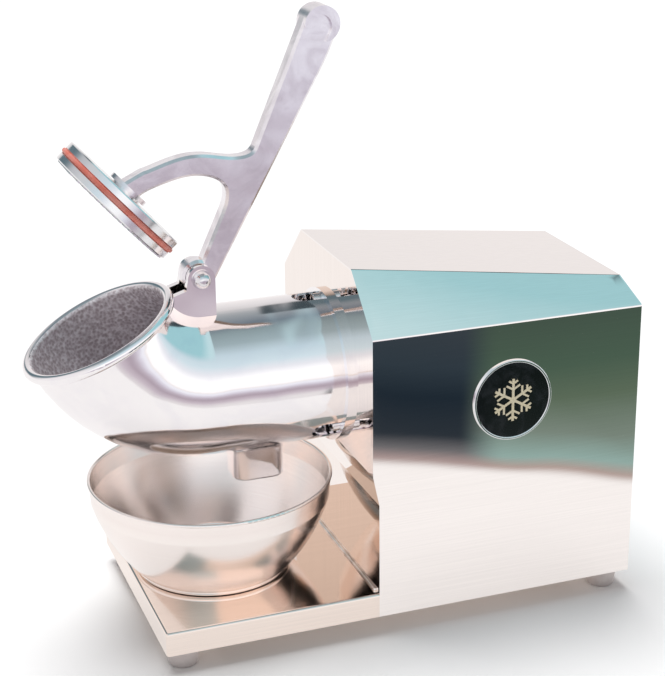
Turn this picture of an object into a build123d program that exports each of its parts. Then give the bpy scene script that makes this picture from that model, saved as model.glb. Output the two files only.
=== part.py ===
"""Electric countertop ice shaver with a lever-operated pusher.

A folded stainless housing holds a motor whose long shaft turns a blade disc inside a cast feed tube. A cast
lever swings a round pusher into the tube's mouth. Shaved ice drops through a chute into a bowl on the tray.

Millimetres. +Z is up, -X is the mouth end, -Y is the side with the badge.
The origin is the middle of the whole length and width, on the surface that the feet stand on.
"""

import os
from math import asin, atan2, cos, degrees, radians, sin, sqrt

from build123d import *

os.makedirs("parts", exist_ok=True)

# ---------------------------------------------------------------- driving dimensions

# base and housing sheet metal
base_length = 381.0
base_offset = 33.8           # the base's middle stands this far behind the middle of the whole length
base_width = 200.0
skirt_height = 19.0
tray_length = 167.0
sheet = 1.2
bend_radius = 2.4            # outside of a fold in the sheet
side_height = 225.0          # skirt's lower edge up to the crease between side and slope
front_top_rise = 41.0        # the top above that crease, at the front
rear_top_rise = 13.0         # and at the rear
front_top_width = 113.0
rear_top_width = 129.0
panel_step = 5.0             # the upper front panel stands this far forward of the lower one
panel_step_height = 93.5     # where the step begins, above the skirt's lower edge
panel_step_rise = 24.0
gusset_size = 38.0
flange_width = 12.0          # return flange at the cover's rear edge

# feet
foot_height = 15.0
foot_top_diameter = 25.0
foot_bottom_diameter = 22.0
foot_inset = 16.0
foot_screw_diameter = 5.0
foot_screw_head_diameter = 9.0
foot_screw_head_height = 3.0
foot_recess_depth = 6.0

# feed tube casting
shaft_height = 188.0
drum_bore = 108.0
tube_wall = 3.0
elbow_radius = 84.5          # hinge axis down to the drum's axis, and the elbow's bend radius
hinge_to_panel = 101.5       # hinge axis to the upper front panel's face
mouth_tilt = 24.8            # the mouth's plane against the horizontal
rim_bead_radius = 4.0
rim_radius = 62.0
flange_radius = 60.0
flange_thickness = 4.0
chamber_wall = 6.0           # wall that closes the drum behind the chute
chute_to_wall = 2.5
chute_length = 41.0
chute_width = 34.0
chute_wall = 3.0
chute_corner_radius = 11.0
chute_lip_radius = 2.0
chute_root_fillet = 5.0
chute_drop = 25.5            # chute's lower edge below the drum's underside
chute_to_panel = 60.5        # chute's middle to the upper front panel's face
collar_bore = 74.0
bearing_boss_diameter = 45.0

# hinge
hinge_pin_diameter = 8.0
hinge_clearance = 0.05
lever_thickness = 14.0
ear_gap = 15.0
ear_thickness = 6.0
ear_radius = 10.5
washer_thickness = 1.2
washer_diameter = 15.0
dome_nut_diameter = 12.0
dome_nut_height = 7.0
bolt_head_diameter = 13.0
bolt_head_height = 5.0

# lever, measured from the hinge axis
knuckle_radius = 12.8
handle_angle = 60.4          # the leg's rear edge against the horizontal
handle_reach = 177.0         # along that edge, to where the grip flares out
grip_radius = 13.5
grip_offset_x = 0.1          # from the flare's start to the middle of the grip's round end
grip_offset_z = 32.9
grip_flare_angle = 72.0
crotch_x = 46.5              # where the handle's front edge meets the arm
crotch_z = 94.0
arm_end_half = 8.0
grip_thickness = 20.0
grip_pocket_radius = 9.6
lever_bevel = 2.0
pusher_angle = 132.0         # the pusher's direction from the hinge, at rest
foot_pad_diameter = 32.0
foot_pad_thickness = 3.5

# pusher
pusher_diameter = 105.0
pusher_plate = 6.3
seal_diameter = 107.0
seal_thickness = 3.4
pusher_boss_diameter = 25.0
pusher_boss_height = 1.5
rib_height = 1.2
rib_width = 2.0
rib_pitch = 5.0
pusher_bolt_diameter = 8.0
pusher_bolt_head_diameter = 16.0
clamp_screw_diameter = 5.0
clamp_screw_head_diameter = 9.5
clamp_screw_circle = 74.0

# flange screws
flange_screw_circle = 106.0
flange_screw_diameter = 6.0
flange_screw_head_diameter = 10.0
flange_screw_head_height = 6.0
flange_screw_angles = (90.0, 222.0, 318.0)
pocket_diameter = 20.0
pocket_length = 24.0

# shaft, blade disc and drum bearing
shaft_diameter = 15.0
running_clearance = 0.05
disc_clearance = 1.0
disc_thickness = 6.0
disc_to_chute = 0.5          # the disc's rear face to the chute's front side
hub_diameter = 36.0
hub_length = 14.0
key_width = 5.0
key_length = 12.0
blade_count = 3
blade_length = 32.0
blade_width = 13.0
blade_thickness = 2.5
blade_proud = 0.8
blade_slot_width = 7.0
blade_mid_radius = 32.0
blade_screw_diameter = 4.0
cap_nut_diameter = 20.0
cap_nut_height = 9.0
shaft_thread_diameter = 12.0
disc_washer_diameter = 28.0
disc_washer_thickness = 1.5
bearing_outer_diameter = 35.0
bearing_width = 11.0
bearing_inner_ring_diameter = 21.0
bearing_outer_ring_bore = 28.0
seal_lip_clearance = 0.05
lip_seal_diameter = 30.0

# motor and its bracket
plate_thickness = 4.0
plate_width = 144.0
plate_above_shaft = 60.0
plate_foot_length = 52.0
bush_diameter = 12.0
plate_bolt_diameter = 6.0
plate_bolt_spacing = 110.0
motor_diameter = 104.0
motor_pilot_diameter = 46.0
front_bell_length = 24.0
stator_length = 90.0
rear_bell_length = 24.0
bell_wall = 6.0
case_wall = 3.0
stator_yoke = 20.0           # from the case's inside to the rotor's bore
stator_core_length = 62.0
winding_overhang = 10.0
air_gap = 0.5
through_bolt_diameter = 5.0
through_bolt_inset = 6.0
fan_inset = 6.0
fan_hub_diameter = 28.0
fan_length = 14.0
fan_blade_count = 8
fan_to_bell = 4.0
shaft_tail = 3.0
face_screw_inset = 14.0
air_hole_inset = 21.0
air_hole_diameter = 11.0
air_hole_count = 6
capacitor_diameter = 34.0
capacitor_inset = 42.0       # its middle inside the base's side
capacitor_behind = 112.0     # its middle behind the motor's face
capacitor_length = 68.0

# switch and inlet on the rear panel
rocker_width = 13.0
rocker_height = 19.0
rocker_opening_height = 21.0
rocker_frame_wall = 2.0
rocker_frame_lip = 2.0
rocker_body_depth = 22.0
rocker_swing = 24.0
rocker_clearance = 0.3
switch_y = 52.0
switch_z = 120.0
inlet_y = 52.0
inlet_z = 76.0
inlet_width = 30.0
inlet_height = 24.0
inlet_lip_width = 50.0
inlet_lip_thickness = 3.0
inlet_depth = 20.0
inlet_socket_width = 24.0
inlet_socket_height = 16.5
inlet_socket_depth = 15.0
vent_slot_length = 44.0
vent_slot_width = 4.0
vent_slot_pitch = 10.0
vent_slot_count = 9
vent_slot_y = -40.0
panel_screw_diameter = 4.0
panel_screw_head_diameter = 8.0
panel_screw_head_height = 2.6

# bowl
bowl_rim_radius = 94.3
bowl_base_radius = 61.0
bowl_height = 77.0
bowl_band_height = 18.0
bowl_band_inset = 1.6
bowl_wall = 1.0
bowl_rim_bead = 1.3
bowl_to_panel = 97.3         # bowl's axis to the upper front panel's face
lift_clearance = 0.3

# badge
badge_diameter = 64.0
badge_rim_width = 2.2
badge_rim_height = 1.8
badge_plate_thickness = 1.2
badge_from_rear = 106.8
badge_height = 178.2
emblem_height = 0.4
emblem_arm_length = 17.0
emblem_arm_width = 2.0

# ---------------------------------------------------------------- places worked out from them

front_x = base_offset - base_length / 2
rear_x = base_offset + base_length / 2
lower_panel_x = front_x + tray_length
upper_panel_x = lower_panel_x - panel_step
half_width = base_width / 2
skirt_z = foot_height
deck_z = foot_height + skirt_height
crease_z = skirt_z + side_height
step_z = skirt_z + panel_step_height
step_top_z = step_z + panel_step_rise

motor_radius = motor_diameter / 2
stator_bore_radius = motor_radius - case_wall - stator_yoke
through_bolt_radius = motor_radius - through_bolt_inset
face_screw_radius = motor_radius - face_screw_inset
air_hole_radius = motor_radius - air_hole_inset
fan_radius = motor_radius - fan_inset

drum_radius = drum_bore / 2
tube_radius = drum_radius + tube_wall
hinge_x = upper_panel_x - hinge_to_panel
hinge_z = shaft_height + elbow_radius
mouth_angle = 180 + mouth_tilt
chute_x = upper_panel_x - chute_to_panel
disc_rear_x = chute_x - chute_length / 2 - disc_to_chute
disc_front_x = disc_rear_x - disc_thickness
chamber_rear_x = chute_x + chute_length / 2 + chute_to_wall
plate_x = lower_panel_x + sheet
motor_x = plate_x + plate_thickness
stator_x = motor_x + front_bell_length
rear_bell_x = stator_x + stator_length
rear_bell_end_x = rear_bell_x + rear_bell_length
fan_x = rear_bell_end_x + fan_to_bell
shaft_rear_x = fan_x + fan_length + shaft_tail
drum_bearing_x = chamber_rear_x + chamber_wall
pusher_half = pusher_plate + seal_thickness / 2
ear_face_y = ear_gap / 2 + ear_thickness


# ---------------------------------------------------------------- helpers

def save(name, *solids):
    """Write one node: a single solid, or a group of separate ones."""
    flat = [s for shape in solids for s in shape.solids()]
    export_step(flat[0] if len(flat) == 1 else Compound(children=flat), f"parts/{name}.step")


def box(x0, x1, y0, y1, z0, z1):
    """A box between two corners."""
    return Pos((x0 + x1) / 2, (y0 + y1) / 2, (z0 + z1) / 2) * Box(x1 - x0, y1 - y0, z1 - z0)


def rod_x(x0, x1, radius, y=0.0, z=shaft_height):
    """A cylinder along X."""
    return Pos((x0 + x1) / 2, y, z) * Rot(0, 90, 0) * Cylinder(radius, x1 - x0)


def rod_y(y0, y1, radius, x, z):
    """A cylinder along Y."""
    return Pos(x, (y0 + y1) / 2, z) * Rot(90, 0, 0) * Cylinder(radius, y1 - y0)


def rod_z(z0, z1, radius, x, y):
    """A cylinder along Z."""
    return Pos(x, y, (z0 + z1) / 2) * Cylinder(radius, z1 - z0)


def ring_x(x0, x1, outer, inner):
    """A flat ring on the shaft's axis."""
    return rod_x(x0, x1, outer) - rod_x(x0 - 1, x1 + 1, inner)


def section_x(x, points):
    """A closed face in a plane of constant X from (y, z) points."""
    return make_face(Polyline(*[(x, y, z) for y, z in points], close=True))


def profile_y(points, y0, y1):
    """A prism along Y from an outline of (x, z) points."""
    face = make_face(Polyline(*[(x, y0, z) for x, z in points], close=True))
    return extrude(face, amount=y1 - y0, dir=(0, 1, 0))


def around_shaft(solid, count, start=0.0):
    """Copies of a solid, turned about the shaft's axis."""
    return [Pos(0, 0, shaft_height) * Rot(start + 360 * i / count, 0, 0) * Pos(0, 0, -shaft_height) * solid
            for i in range(count)]


def on_circle(radius, angle):
    """(y, z) of a point on a circle round the shaft's axis."""
    return radius * cos(radians(angle)), shaft_height + radius * sin(radians(angle))


def from_hinge(radius, angle, along=0.0):
    """(x, z) of a point at a distance and direction from the hinge, moved along the pusher's swing."""
    a = radians(angle)
    return (hinge_x + radius * cos(a) - along * sin(a), hinge_z + radius * sin(a) + along * cos(a))


def hinge_plane(angle, along=0.0):
    """The plane at the pusher's radius whose normal is its direction of swing."""
    x, z = from_hinge(elbow_radius, angle, along)
    a = radians(angle)
    return Plane(origin=(x, 0, z), x_dir=(cos(a), 0, sin(a)), z_dir=(-sin(a), 0, cos(a)))


# ---------------------------------------------------------------- base

def folded_block(x0, x1, half, z0, z1, bend):
    """A block whose top front, top side and upright front edges are rounded like folds."""
    block = box(x0, x1, -half, half, z0, z1)
    top = [e for e in block.edges() if e.center().Z > z1 - 0.01 and e.center().X < x1 - 0.01]
    upright = [e for e in block.edges() if abs(e.tangent_at(0.5).Z) > 0.9 and e.center().X < x0 + 0.01]
    return fillet(top + upright, bend)


def base_pan():
    """Deck and skirt. Behind the tray it is narrower, so that the cover laps over its skirt."""
    inner = half_width - sheet
    tray = folded_block(front_x, lower_panel_x, half_width, skirt_z, deck_z, bend_radius)
    tray_space = folded_block(front_x + sheet, lower_panel_x - sheet, inner, skirt_z - 1, deck_z - sheet,
                              bend_radius - sheet)
    body = box(lower_panel_x, rear_x - sheet, -inner, inner, skirt_z, deck_z)
    body_space = box(lower_panel_x - flange_width, rear_x - 2 * sheet, -inner + sheet, inner - sheet,
                     skirt_z - 1, deck_z - sheet)
    pan = tray + body - tray_space - body_space
    for x, y in foot_places():
        side_x = front_x + sheet / 2 if x < base_offset else rear_x - 1.5 * sheet
        reach = gusset_size if x < base_offset else -gusset_size
        edge_y = half_width - sheet / 2 if x < base_offset else inner - sheet / 2
        side_y = edge_y if y > 0 else -edge_y
        x0, x1 = sorted((side_x, side_x + reach))
        y0, y1 = sorted((side_y, side_y - gusset_size * (1 if y > 0 else -1)))
        pan += box(x0, x1, y0, y1, skirt_z, skirt_z + sheet)
    for x, y in foot_places():
        pan -= rod_z(skirt_z - 1, skirt_z + sheet + 1, foot_screw_diameter / 2 + 0.2, x, y)
    for x, y in plate_bolt_places():
        pan -= rod_z(deck_z - sheet - 1, deck_z + 1, plate_bolt_diameter / 2 + 0.2, x, y)
    return pan


def foot_places():
    """The feet's middles."""
    return [(x, y) for x in (front_x + foot_inset, rear_x - foot_inset)
            for y in (-half_width + foot_inset, half_width - foot_inset)]


def foot(x, y):
    """A tapered rubber foot with a sunk screw seat."""
    body = Pos(x, y, foot_height / 2) * Rot(180, 0, 0) * Cone(
        foot_top_diameter / 2, foot_bottom_diameter / 2, foot_height)
    body = fillet(body.edges().group_by(Axis.Z)[0], 1.5)
    seat = rod_z(-1, foot_recess_depth, foot_screw_head_diameter / 2 + 0.3, x, y)
    hole = rod_z(-1, foot_height + 1, foot_screw_diameter / 2 + 0.2, x, y)
    return body - seat - hole


def foot_screw(x, y):
    """Pan-head screw up through a foot and its gusset."""
    head = rod_z(foot_recess_depth - foot_screw_head_height, foot_recess_depth,
                 foot_screw_head_diameter / 2, x, y)
    shank = rod_z(foot_recess_depth, skirt_z + sheet + 7, foot_screw_diameter / 2, x, y)
    slot = box(x - foot_screw_head_diameter, x + foot_screw_head_diameter, y - 0.6, y + 0.6,
               foot_recess_depth - foot_screw_head_height - 1,
               foot_recess_depth - foot_screw_head_height + 1.2)
    return head + shank - slot


def hex_nut_z(x, y, z, bore_diameter, height):
    """Hexagon nut whose lower face is at z."""
    face = RegularPolygon(bore_diameter * 0.92, 6)
    nut = Pos(x, y, z) * extrude(face, amount=height)
    return nut - rod_z(z - 1, z + height + 1, bore_diameter / 2, x, y)


# ---------------------------------------------------------------- housing

def housing_points(x, inset=0.0, bottom=skirt_z):
    """The housing's outline at a station, as (y, z) points, pulled in by an inset."""
    share = (x - upper_panel_x) / (rear_x - upper_panel_x)
    top_y = (front_top_width + share * (rear_top_width - front_top_width)) / 2
    top_z = crease_z + front_top_rise + share * (rear_top_rise - front_top_rise)
    rise, run = top_z - crease_z, half_width - top_y
    slant = sqrt(rise ** 2 + run ** 2)
    normal_y, normal_z = rise / slant, run / slant
    reach = normal_y * half_width + normal_z * crease_z - inset
    side_y = half_width - inset
    crease = (reach - normal_y * side_y) / normal_z
    edge_y = (reach - normal_z * (top_z - inset)) / normal_y
    right = [(-side_y, bottom), (-side_y, crease), (-edge_y, top_z - inset)]
    return right + [(-y, z) for y, z in reversed(right)]


def housing_block(x0, x1, inset=0.0, bottom=skirt_z, bend=0.0):
    """The housing's space between two stations as one solid, its four long folds rounded if asked."""
    block = loft([section_x(x, housing_points(x, inset, bottom)) for x in (x0, x1)], ruled=True)
    if bend:
        folds = [e for e in block.edges()
                 if abs(e.tangent_at(0.5).X) > 0.9 and e.center().Z > crease_z - flange_width]
        block = fillet(folds, bend)
    return block


def step_space():
    """What the stepped front leaves out of the housing's space."""
    return profile_y([(upper_panel_x - 1, step_top_z), (upper_panel_x, step_top_z), (lower_panel_x, step_z),
                      (lower_panel_x, skirt_z - 1), (upper_panel_x - 1, skirt_z - 1)],
                     -half_width - 1, half_width + 1)


def housing_cover():
    """Sides, slopes and top in one sheet, with a return flange at the rear."""
    cover_end = rear_x - sheet
    inner = half_width - sheet
    cover = housing_block(upper_panel_x, cover_end, bend=bend_radius) - step_space()
    cover -= housing_block(upper_panel_x - 1, cover_end - sheet, sheet, skirt_z - 1, bend_radius - sheet)
    cover -= housing_block(cover_end - 2 * sheet, cover_end + 1, flange_width, skirt_z - 1)
    cover -= box(cover_end - 2 * sheet, cover_end + 1, -inner, inner, skirt_z - 1, deck_z + 1)
    for y, z in panel_screw_places():
        cover -= rod_x(cover_end - sheet - 1, cover_end + 1, panel_screw_diameter / 2, y, z)
    return cover


def front_panel():
    """Stepped front sheet between the cover's sides, with holes for the drum's collar and its screws."""
    top = crease_z + front_top_rise + 1
    strip = profile_y([(upper_panel_x, top), (upper_panel_x, step_top_z), (lower_panel_x, step_z),
                       (lower_panel_x, deck_z), (lower_panel_x + sheet, deck_z),
                       (lower_panel_x + sheet, step_z),
                       (upper_panel_x + sheet, step_top_z), (upper_panel_x + sheet, top)],
                      -half_width, half_width)
    panel = strip & housing_block(upper_panel_x - 1, lower_panel_x + 2 * sheet, sheet, skirt_z,
                                  bend_radius - sheet)
    panel -= rod_x(upper_panel_x - 1, lower_panel_x, collar_bore / 2)
    for y, z in flange_screw_places():
        panel -= rod_x(upper_panel_x - 1, lower_panel_x, flange_screw_diameter / 2 + 0.2, y, z)
    return panel


def panel_screw_places():
    """(y, z) of the rear panel's screws, on the cover's return flange."""
    y = half_width - sheet - flange_width / 2
    low, high = deck_z + 16, crease_z - 18
    return [(side * y, z) for side in (-1, 1) for z in (low, (low + high) / 2, high)]


def rear_panel():
    """Flat rear sheet with vent slots and cut-outs for the switch and the inlet."""
    outline = section_x(rear_x, housing_points(rear_x))
    corners = [v for v in outline.vertices() if v.Z > crease_z - 1]
    plate = extrude(fillet(corners, bend_radius), amount=sheet, dir=(-1, 0, 0))
    for i in range(vent_slot_count):
        z = shaft_height + (i - (vent_slot_count - 1) / 2) * vent_slot_pitch
        slot = Rot(0, 90, 0) * SlotOverall(vent_slot_length, vent_slot_width, rotation=90)
        plate -= Pos(rear_x + 1, vent_slot_y, z) * extrude(slot, amount=-sheet - 2)
    cut = sheet + 1
    width, height = rocker_body_size()
    plate -= Pos(rear_x, switch_y, switch_z) * Box(2 * cut, width + 0.2, height + 0.2)
    plate -= Pos(rear_x, inlet_y, inlet_z) * Box(2 * cut, inlet_width + 0.2, inlet_height - 2.8)
    for y, z in panel_screw_places() + inlet_screw_places():
        plate -= rod_x(rear_x - cut, rear_x + 1, panel_screw_diameter / 2 + 0.2, y, z)
    return plate


def pan_screw_x(x, y, z, head_diameter, head_height, diameter, length, toward=1):
    """Domed screw along X. Its head's underside is at x, its head on the side that toward names."""
    head = Pos(x, y, z) * Rot(0, 90 * toward, 0) * Pos(0, 0, head_height / 2) * Cylinder(
        head_diameter / 2, head_height)
    head = fillet(head.faces().sort_by(Axis.X)[-1 if toward > 0 else 0].edges(), head_height * 0.6)
    slot = Pos(x + toward * head_height, y, z) * Box(head_height * 0.8, head_diameter * 0.55, 1.0)
    cross = Pos(x + toward * head_height, y, z) * Box(head_height * 0.8, 1.0, head_diameter * 0.55)
    shank = rod_x(min(x, x - toward * length), max(x, x - toward * length), diameter / 2, y, z)
    return head + shank - slot - cross


# ---------------------------------------------------------------- feed tube

def flange_screw_places():
    """(y, z) of the three screws that hold the feed tube."""
    return [on_circle(flange_screw_circle / 2, angle) for angle in flange_screw_angles]


def swept_elbow(radius, lead=0.0):
    """The elbow's space round the hinge axis, from the mouth to the drum, with a lead beyond the mouth."""
    plane = hinge_plane(mouth_angle - lead)
    axis = Axis((hinge_x, 0, hinge_z), (0, -1, 0))
    return revolve(plane * Circle(radius), axis=axis, revolution_arc=270 - mouth_angle + lead)


def hinge_ears():
    """Two ears that stand on the elbow and carry the hinge bolt."""
    foot_x = hinge_x - 22
    shape = [(hinge_x + ear_radius, hinge_z), (hinge_x + ear_radius, hinge_z - 34), (foot_x, hinge_z - 34),
             (foot_x - 3, hinge_z - 12), (hinge_x - 12, hinge_z - 8), (hinge_x - ear_radius, hinge_z)]
    ears = []
    for side in (-1, 1):
        y0, y1 = sorted((side * ear_gap / 2, side * ear_face_y))
        ears.append(profile_y(shape, y0, y1) + rod_y(y0, y1, ear_radius, hinge_x, hinge_z))
    return ears


def feed_tube():
    """Mouth, elbow, drum, chute, collar, flange and hinge ears in one casting."""
    body = swept_elbow(tube_radius) + rod_x(hinge_x, upper_panel_x, tube_radius)
    body += rod_x(upper_panel_x - flange_thickness, upper_panel_x, flange_radius)
    body += hinge_plane(mouth_angle).location * Torus(rim_radius - rim_bead_radius, rim_bead_radius)
    for ear in hinge_ears():
        body += ear
    chute_low = shaft_height - tube_radius - chute_drop
    chute = Pos(chute_x, 0, chute_low) * extrude(
        RectangleRounded(chute_length, chute_width, chute_corner_radius),
        amount=chute_drop + tube_radius / 2)
    chute = fillet(chute.faces().sort_by(Axis.Z)[0].edges(), chute_lip_radius)
    inside = Pos(chute_x, 0, chute_low - 1) * extrude(
        RectangleRounded(chute_length - 2 * chute_wall, chute_width - 2 * chute_wall,
                         chute_corner_radius - chute_wall), amount=chute_drop + tube_radius)
    body += chute
    root = [e for e in body.edges().filter_by(GeomType.LINE, reverse=True)
            if chute_low + 1 < e.center().Z < shaft_height - drum_radius / 2
            and abs(e.center().X - chute_x) < chute_length]
    body = fillet(root, chute_root_fillet)
    body -= swept_elbow(drum_radius, lead=8) + rod_x(hinge_x, chamber_rear_x, drum_radius) + inside
    body -= rod_x(drum_bearing_x, upper_panel_x + 1, collar_bore / 2)
    body += rod_x(drum_bearing_x - 0.01, drum_bearing_x + bearing_width + 1.5, bearing_boss_diameter / 2)
    body -= rod_x(drum_bearing_x, upper_panel_x, bearing_outer_diameter / 2)
    body -= rod_x(chamber_rear_x - 1, drum_bearing_x + 1, lip_seal_diameter / 2)
    pocket_front = upper_panel_x - flange_thickness
    for y, z in flange_screw_places():
        ball_x = pocket_front - pocket_length + pocket_diameter / 2
        body -= rod_x(ball_x, pocket_front, pocket_diameter / 2, y, z)
        body -= Pos(ball_x, y, z) * Sphere(pocket_diameter / 2)
        body -= rod_x(pocket_front - 1, upper_panel_x + 1, flange_screw_diameter / 2 + 0.2, y, z)
    body -= rod_y(-ear_face_y - 1, ear_face_y + 1, hinge_pin_diameter / 2, hinge_x, hinge_z)
    return body


def flange_screw(y, z):
    """Socket-head screw through the flange into the motor plate."""
    seat = upper_panel_x - flange_thickness - washer_thickness
    head = rod_x(seat - flange_screw_head_height, seat, flange_screw_head_diameter / 2, y, z)
    head = chamfer(head.faces().sort_by(Axis.X)[0].edges(), 0.6)
    socket = Pos(seat - flange_screw_head_height, y, z) * Rot(0, 90, 0) * extrude(RegularPolygon(2.9, 6),
                                                                                  amount=3.5)
    return head + rod_x(seat, motor_x, flange_screw_diameter / 2, y, z) - socket


def flange_washer(y, z):
    """Washer under a flange screw's head."""
    front = upper_panel_x - flange_thickness - washer_thickness
    return rod_x(front, front + washer_thickness, 6.0, y, z) - rod_x(
        front - 1, front + 3, flange_screw_diameter / 2, y, z)


def flange_bush(y, z):
    """Distance bush between the upper front panel and the motor plate."""
    front = upper_panel_x + sheet
    return rod_x(front, plate_x, bush_diameter / 2, y, z) - rod_x(
        front - 1, plate_x + 1, flange_screw_diameter / 2, y, z)


# ---------------------------------------------------------------- hinge and lever

def hinge_bolt():
    """Bolt through both ears, its head on the far side."""
    far = ear_face_y + washer_thickness
    near = -ear_face_y - washer_thickness - dome_nut_height * 0.6
    head = Pos(hinge_x, far, hinge_z) * Rot(-90, 0, 0) * extrude(
        RegularPolygon(bolt_head_diameter / 2, 6, major_radius=False), amount=bolt_head_height)
    return head + rod_y(near, far, hinge_pin_diameter / 2, hinge_x, hinge_z)


def hinge_dome_nut():
    """Round dome nut on the near side."""
    seat = -ear_face_y - washer_thickness
    body = rod_y(seat - dome_nut_height, seat, dome_nut_diameter / 2, hinge_x, hinge_z)
    body = fillet(body.faces().sort_by(Axis.Y)[0].edges(), dome_nut_height * 0.72)
    return body - rod_y(seat - dome_nut_height * 0.6, seat + 1, hinge_pin_diameter / 2, hinge_x, hinge_z)


def hinge_washer(side):
    """Washer outside an ear."""
    y0, y1 = sorted((side * ear_face_y, side * (ear_face_y + washer_thickness)))
    return rod_y(y0, y1, washer_diameter / 2, hinge_x, hinge_z) - rod_y(
        y0 - 1, y1 + 1, hinge_pin_diameter / 2, hinge_x, hinge_z)


def lever_outline():
    """The lever's side view as a face in the middle plane, and the grip's middle, from the hinge."""
    def at(x, z):
        return Vector(hinge_x + x, 0, hinge_z + z)

    def heading(angle):
        return Vector(cos(radians(angle)), 0, sin(radians(angle)))

    leg = at(0, 0) + heading(handle_angle - 90) * knuckle_radius
    flare = leg + heading(handle_angle) * handle_reach
    tip = flare + Vector(grip_offset_x, 0, grip_offset_z)
    crotch = at(crotch_x, crotch_z)
    to_tip = tip - crotch
    left_angle = degrees(atan2(to_tip.Z, to_tip.X) + asin(grip_radius / to_tip.length))
    tip_right = tip + heading(grip_flare_angle - 90) * grip_radius
    tip_top = tip + heading(60) * grip_radius
    tip_left = tip + heading(left_angle + 90) * grip_radius
    pad_x, pad_z = from_hinge(elbow_radius, pusher_angle,
                              -pusher_half - pusher_boss_height - foot_pad_thickness / 2)
    pad = Vector(pad_x, 0, pad_z)
    pad_outer = pad + heading(pusher_angle) * arm_end_half
    pad_inner = pad - heading(pusher_angle) * arm_end_half
    armpit = at(19.2, 46.5)
    from_hinge_axis = armpit - at(0, 0)
    shortfall = from_hinge_axis.dot(heading(65))
    square_off = from_hinge_axis.length ** 2 - shortfall ** 2
    knuckle_top = armpit - heading(65) * (shortfall - sqrt(knuckle_radius ** 2 - square_off))
    edges = [
        ThreePointArc(knuckle_top, at(0, 0) - heading(22) * knuckle_radius, leg),
        Line(leg, flare),
        Spline(flare, tip_right, tangents=[heading(handle_angle), heading(grip_flare_angle)]),
        ThreePointArc(tip_right, tip_top, tip_left),
        Line(tip_left, crotch),
        Spline(crotch, at(35, 88), at(13, 91), at(-14, 90.5), at(-36, 84), pad_outer,
               tangents=[heading(left_angle + 180), heading(206)]),
        Line(pad_outer, pad_inner),
        Spline(pad_inner, at(-26.5, 71.8), at(-8, 76.2), at(9, 75.2), at(21.5, 67.5), armpit,
               tangents=[heading(40), heading(245)]),
        Line(armpit, knuckle_top),
    ]
    return make_face(edges), (tip.X, tip.Z)


def lever():
    """Handle, curved arm, knuckle and foot pad in one casting."""
    half = lever_thickness / 2
    outline, (tip_x, tip_z) = lever_outline()
    blade = Pos(0, -half, 0) * extrude(outline, amount=lever_thickness, dir=(0, 1, 0))
    long_edges = [e for face in (blade.faces().sort_by(Axis.Y)[0], blade.faces().sort_by(Axis.Y)[-1])
                  for e in face.outer_wire().edges()]
    blade = chamfer(long_edges, lever_bevel)
    grip_half = grip_thickness / 2
    slope = radians(handle_angle)
    grip = rod_y(-grip_half, grip_half, grip_radius, tip_x, tip_z)
    for side in (-1, 1):
        y0, y1 = sorted((side * half, side * (grip_half + 1)))
        middle = (tip_x - 2.4, tip_z - 2.2)
        low = (middle[0] - 60 * cos(slope), middle[1] - 60 * sin(slope))
        across = (grip_pocket_radius * sin(slope), -grip_pocket_radius * cos(slope))
        track = profile_y([(middle[0] + across[0], middle[1] + across[1]),
                           (middle[0] - across[0], middle[1] - across[1]),
                           (low[0] - across[0], low[1] - across[1]),
                           (low[0] + across[0], low[1] + across[1])], y0, y1)
        grip -= rod_y(y0, y1, grip_pocket_radius, *middle) + track
    pad_plane = hinge_plane(pusher_angle, -pusher_half - pusher_boss_height - foot_pad_thickness)
    pad = pad_plane.location * Pos(0, 0, foot_pad_thickness / 2) * Cylinder(foot_pad_diameter / 2,
                                                                            foot_pad_thickness)
    body = blade + grip + pad
    body -= rod_y(-half - 1, half + 1, hinge_pin_diameter / 2 + hinge_clearance, hinge_x, hinge_z)
    bolt_plane = hinge_plane(pusher_angle, -pusher_half - pusher_boss_height - foot_pad_thickness - 2)
    return body - bolt_plane.location * Pos(0, 0, 10) * Cylinder(pusher_bolt_diameter / 2, 20)


# ---------------------------------------------------------------- pusher

def pusher_disc(start, thickness, diameter):
    """A disc of the pusher's stack, from a place along its swing."""
    return hinge_plane(pusher_angle, start).location * Pos(0, 0, thickness / 2) * Cylinder(diameter / 2,
                                                                                           thickness)


def clamp_screw_places():
    """The three clamp screws' places in the pusher's own plane."""
    radius = clamp_screw_circle / 2
    return [(radius * cos(radians(30 + 120 * i)), radius * sin(radians(30 + 120 * i))) for i in range(3)]


def pusher_holes(radius_extra=0.0):
    """Room for the middle bolt and the clamp screws, through the whole pusher."""
    plane = hinge_plane(pusher_angle).location
    holes = plane * Cylinder(pusher_bolt_diameter / 2 + radius_extra, 60)
    for u, v in clamp_screw_places():
        holes += plane * Pos(u, v, 0) * Cylinder(clamp_screw_diameter / 2 + radius_extra, 60)
    return holes


def pusher_rear_plate():
    """Plate against the lever, with a small raised seat for the foot pad."""
    plate = pusher_disc(-pusher_half, pusher_plate, pusher_diameter)
    plate = chamfer(plate.edges().filter_by(GeomType.CIRCLE), 0.8)
    seat = pusher_disc(-pusher_half - pusher_boss_height, pusher_boss_height, pusher_boss_diameter)
    return plate + seat - pusher_holes()


def pusher_seal():
    """Flat rubber ring with a rounded edge, clamped between the plates."""
    ring = pusher_disc(-seal_thickness / 2, seal_thickness, seal_diameter)
    ring = fillet(ring.edges().filter_by(GeomType.CIRCLE), seal_thickness * 0.42)
    return ring - pusher_holes()


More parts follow.
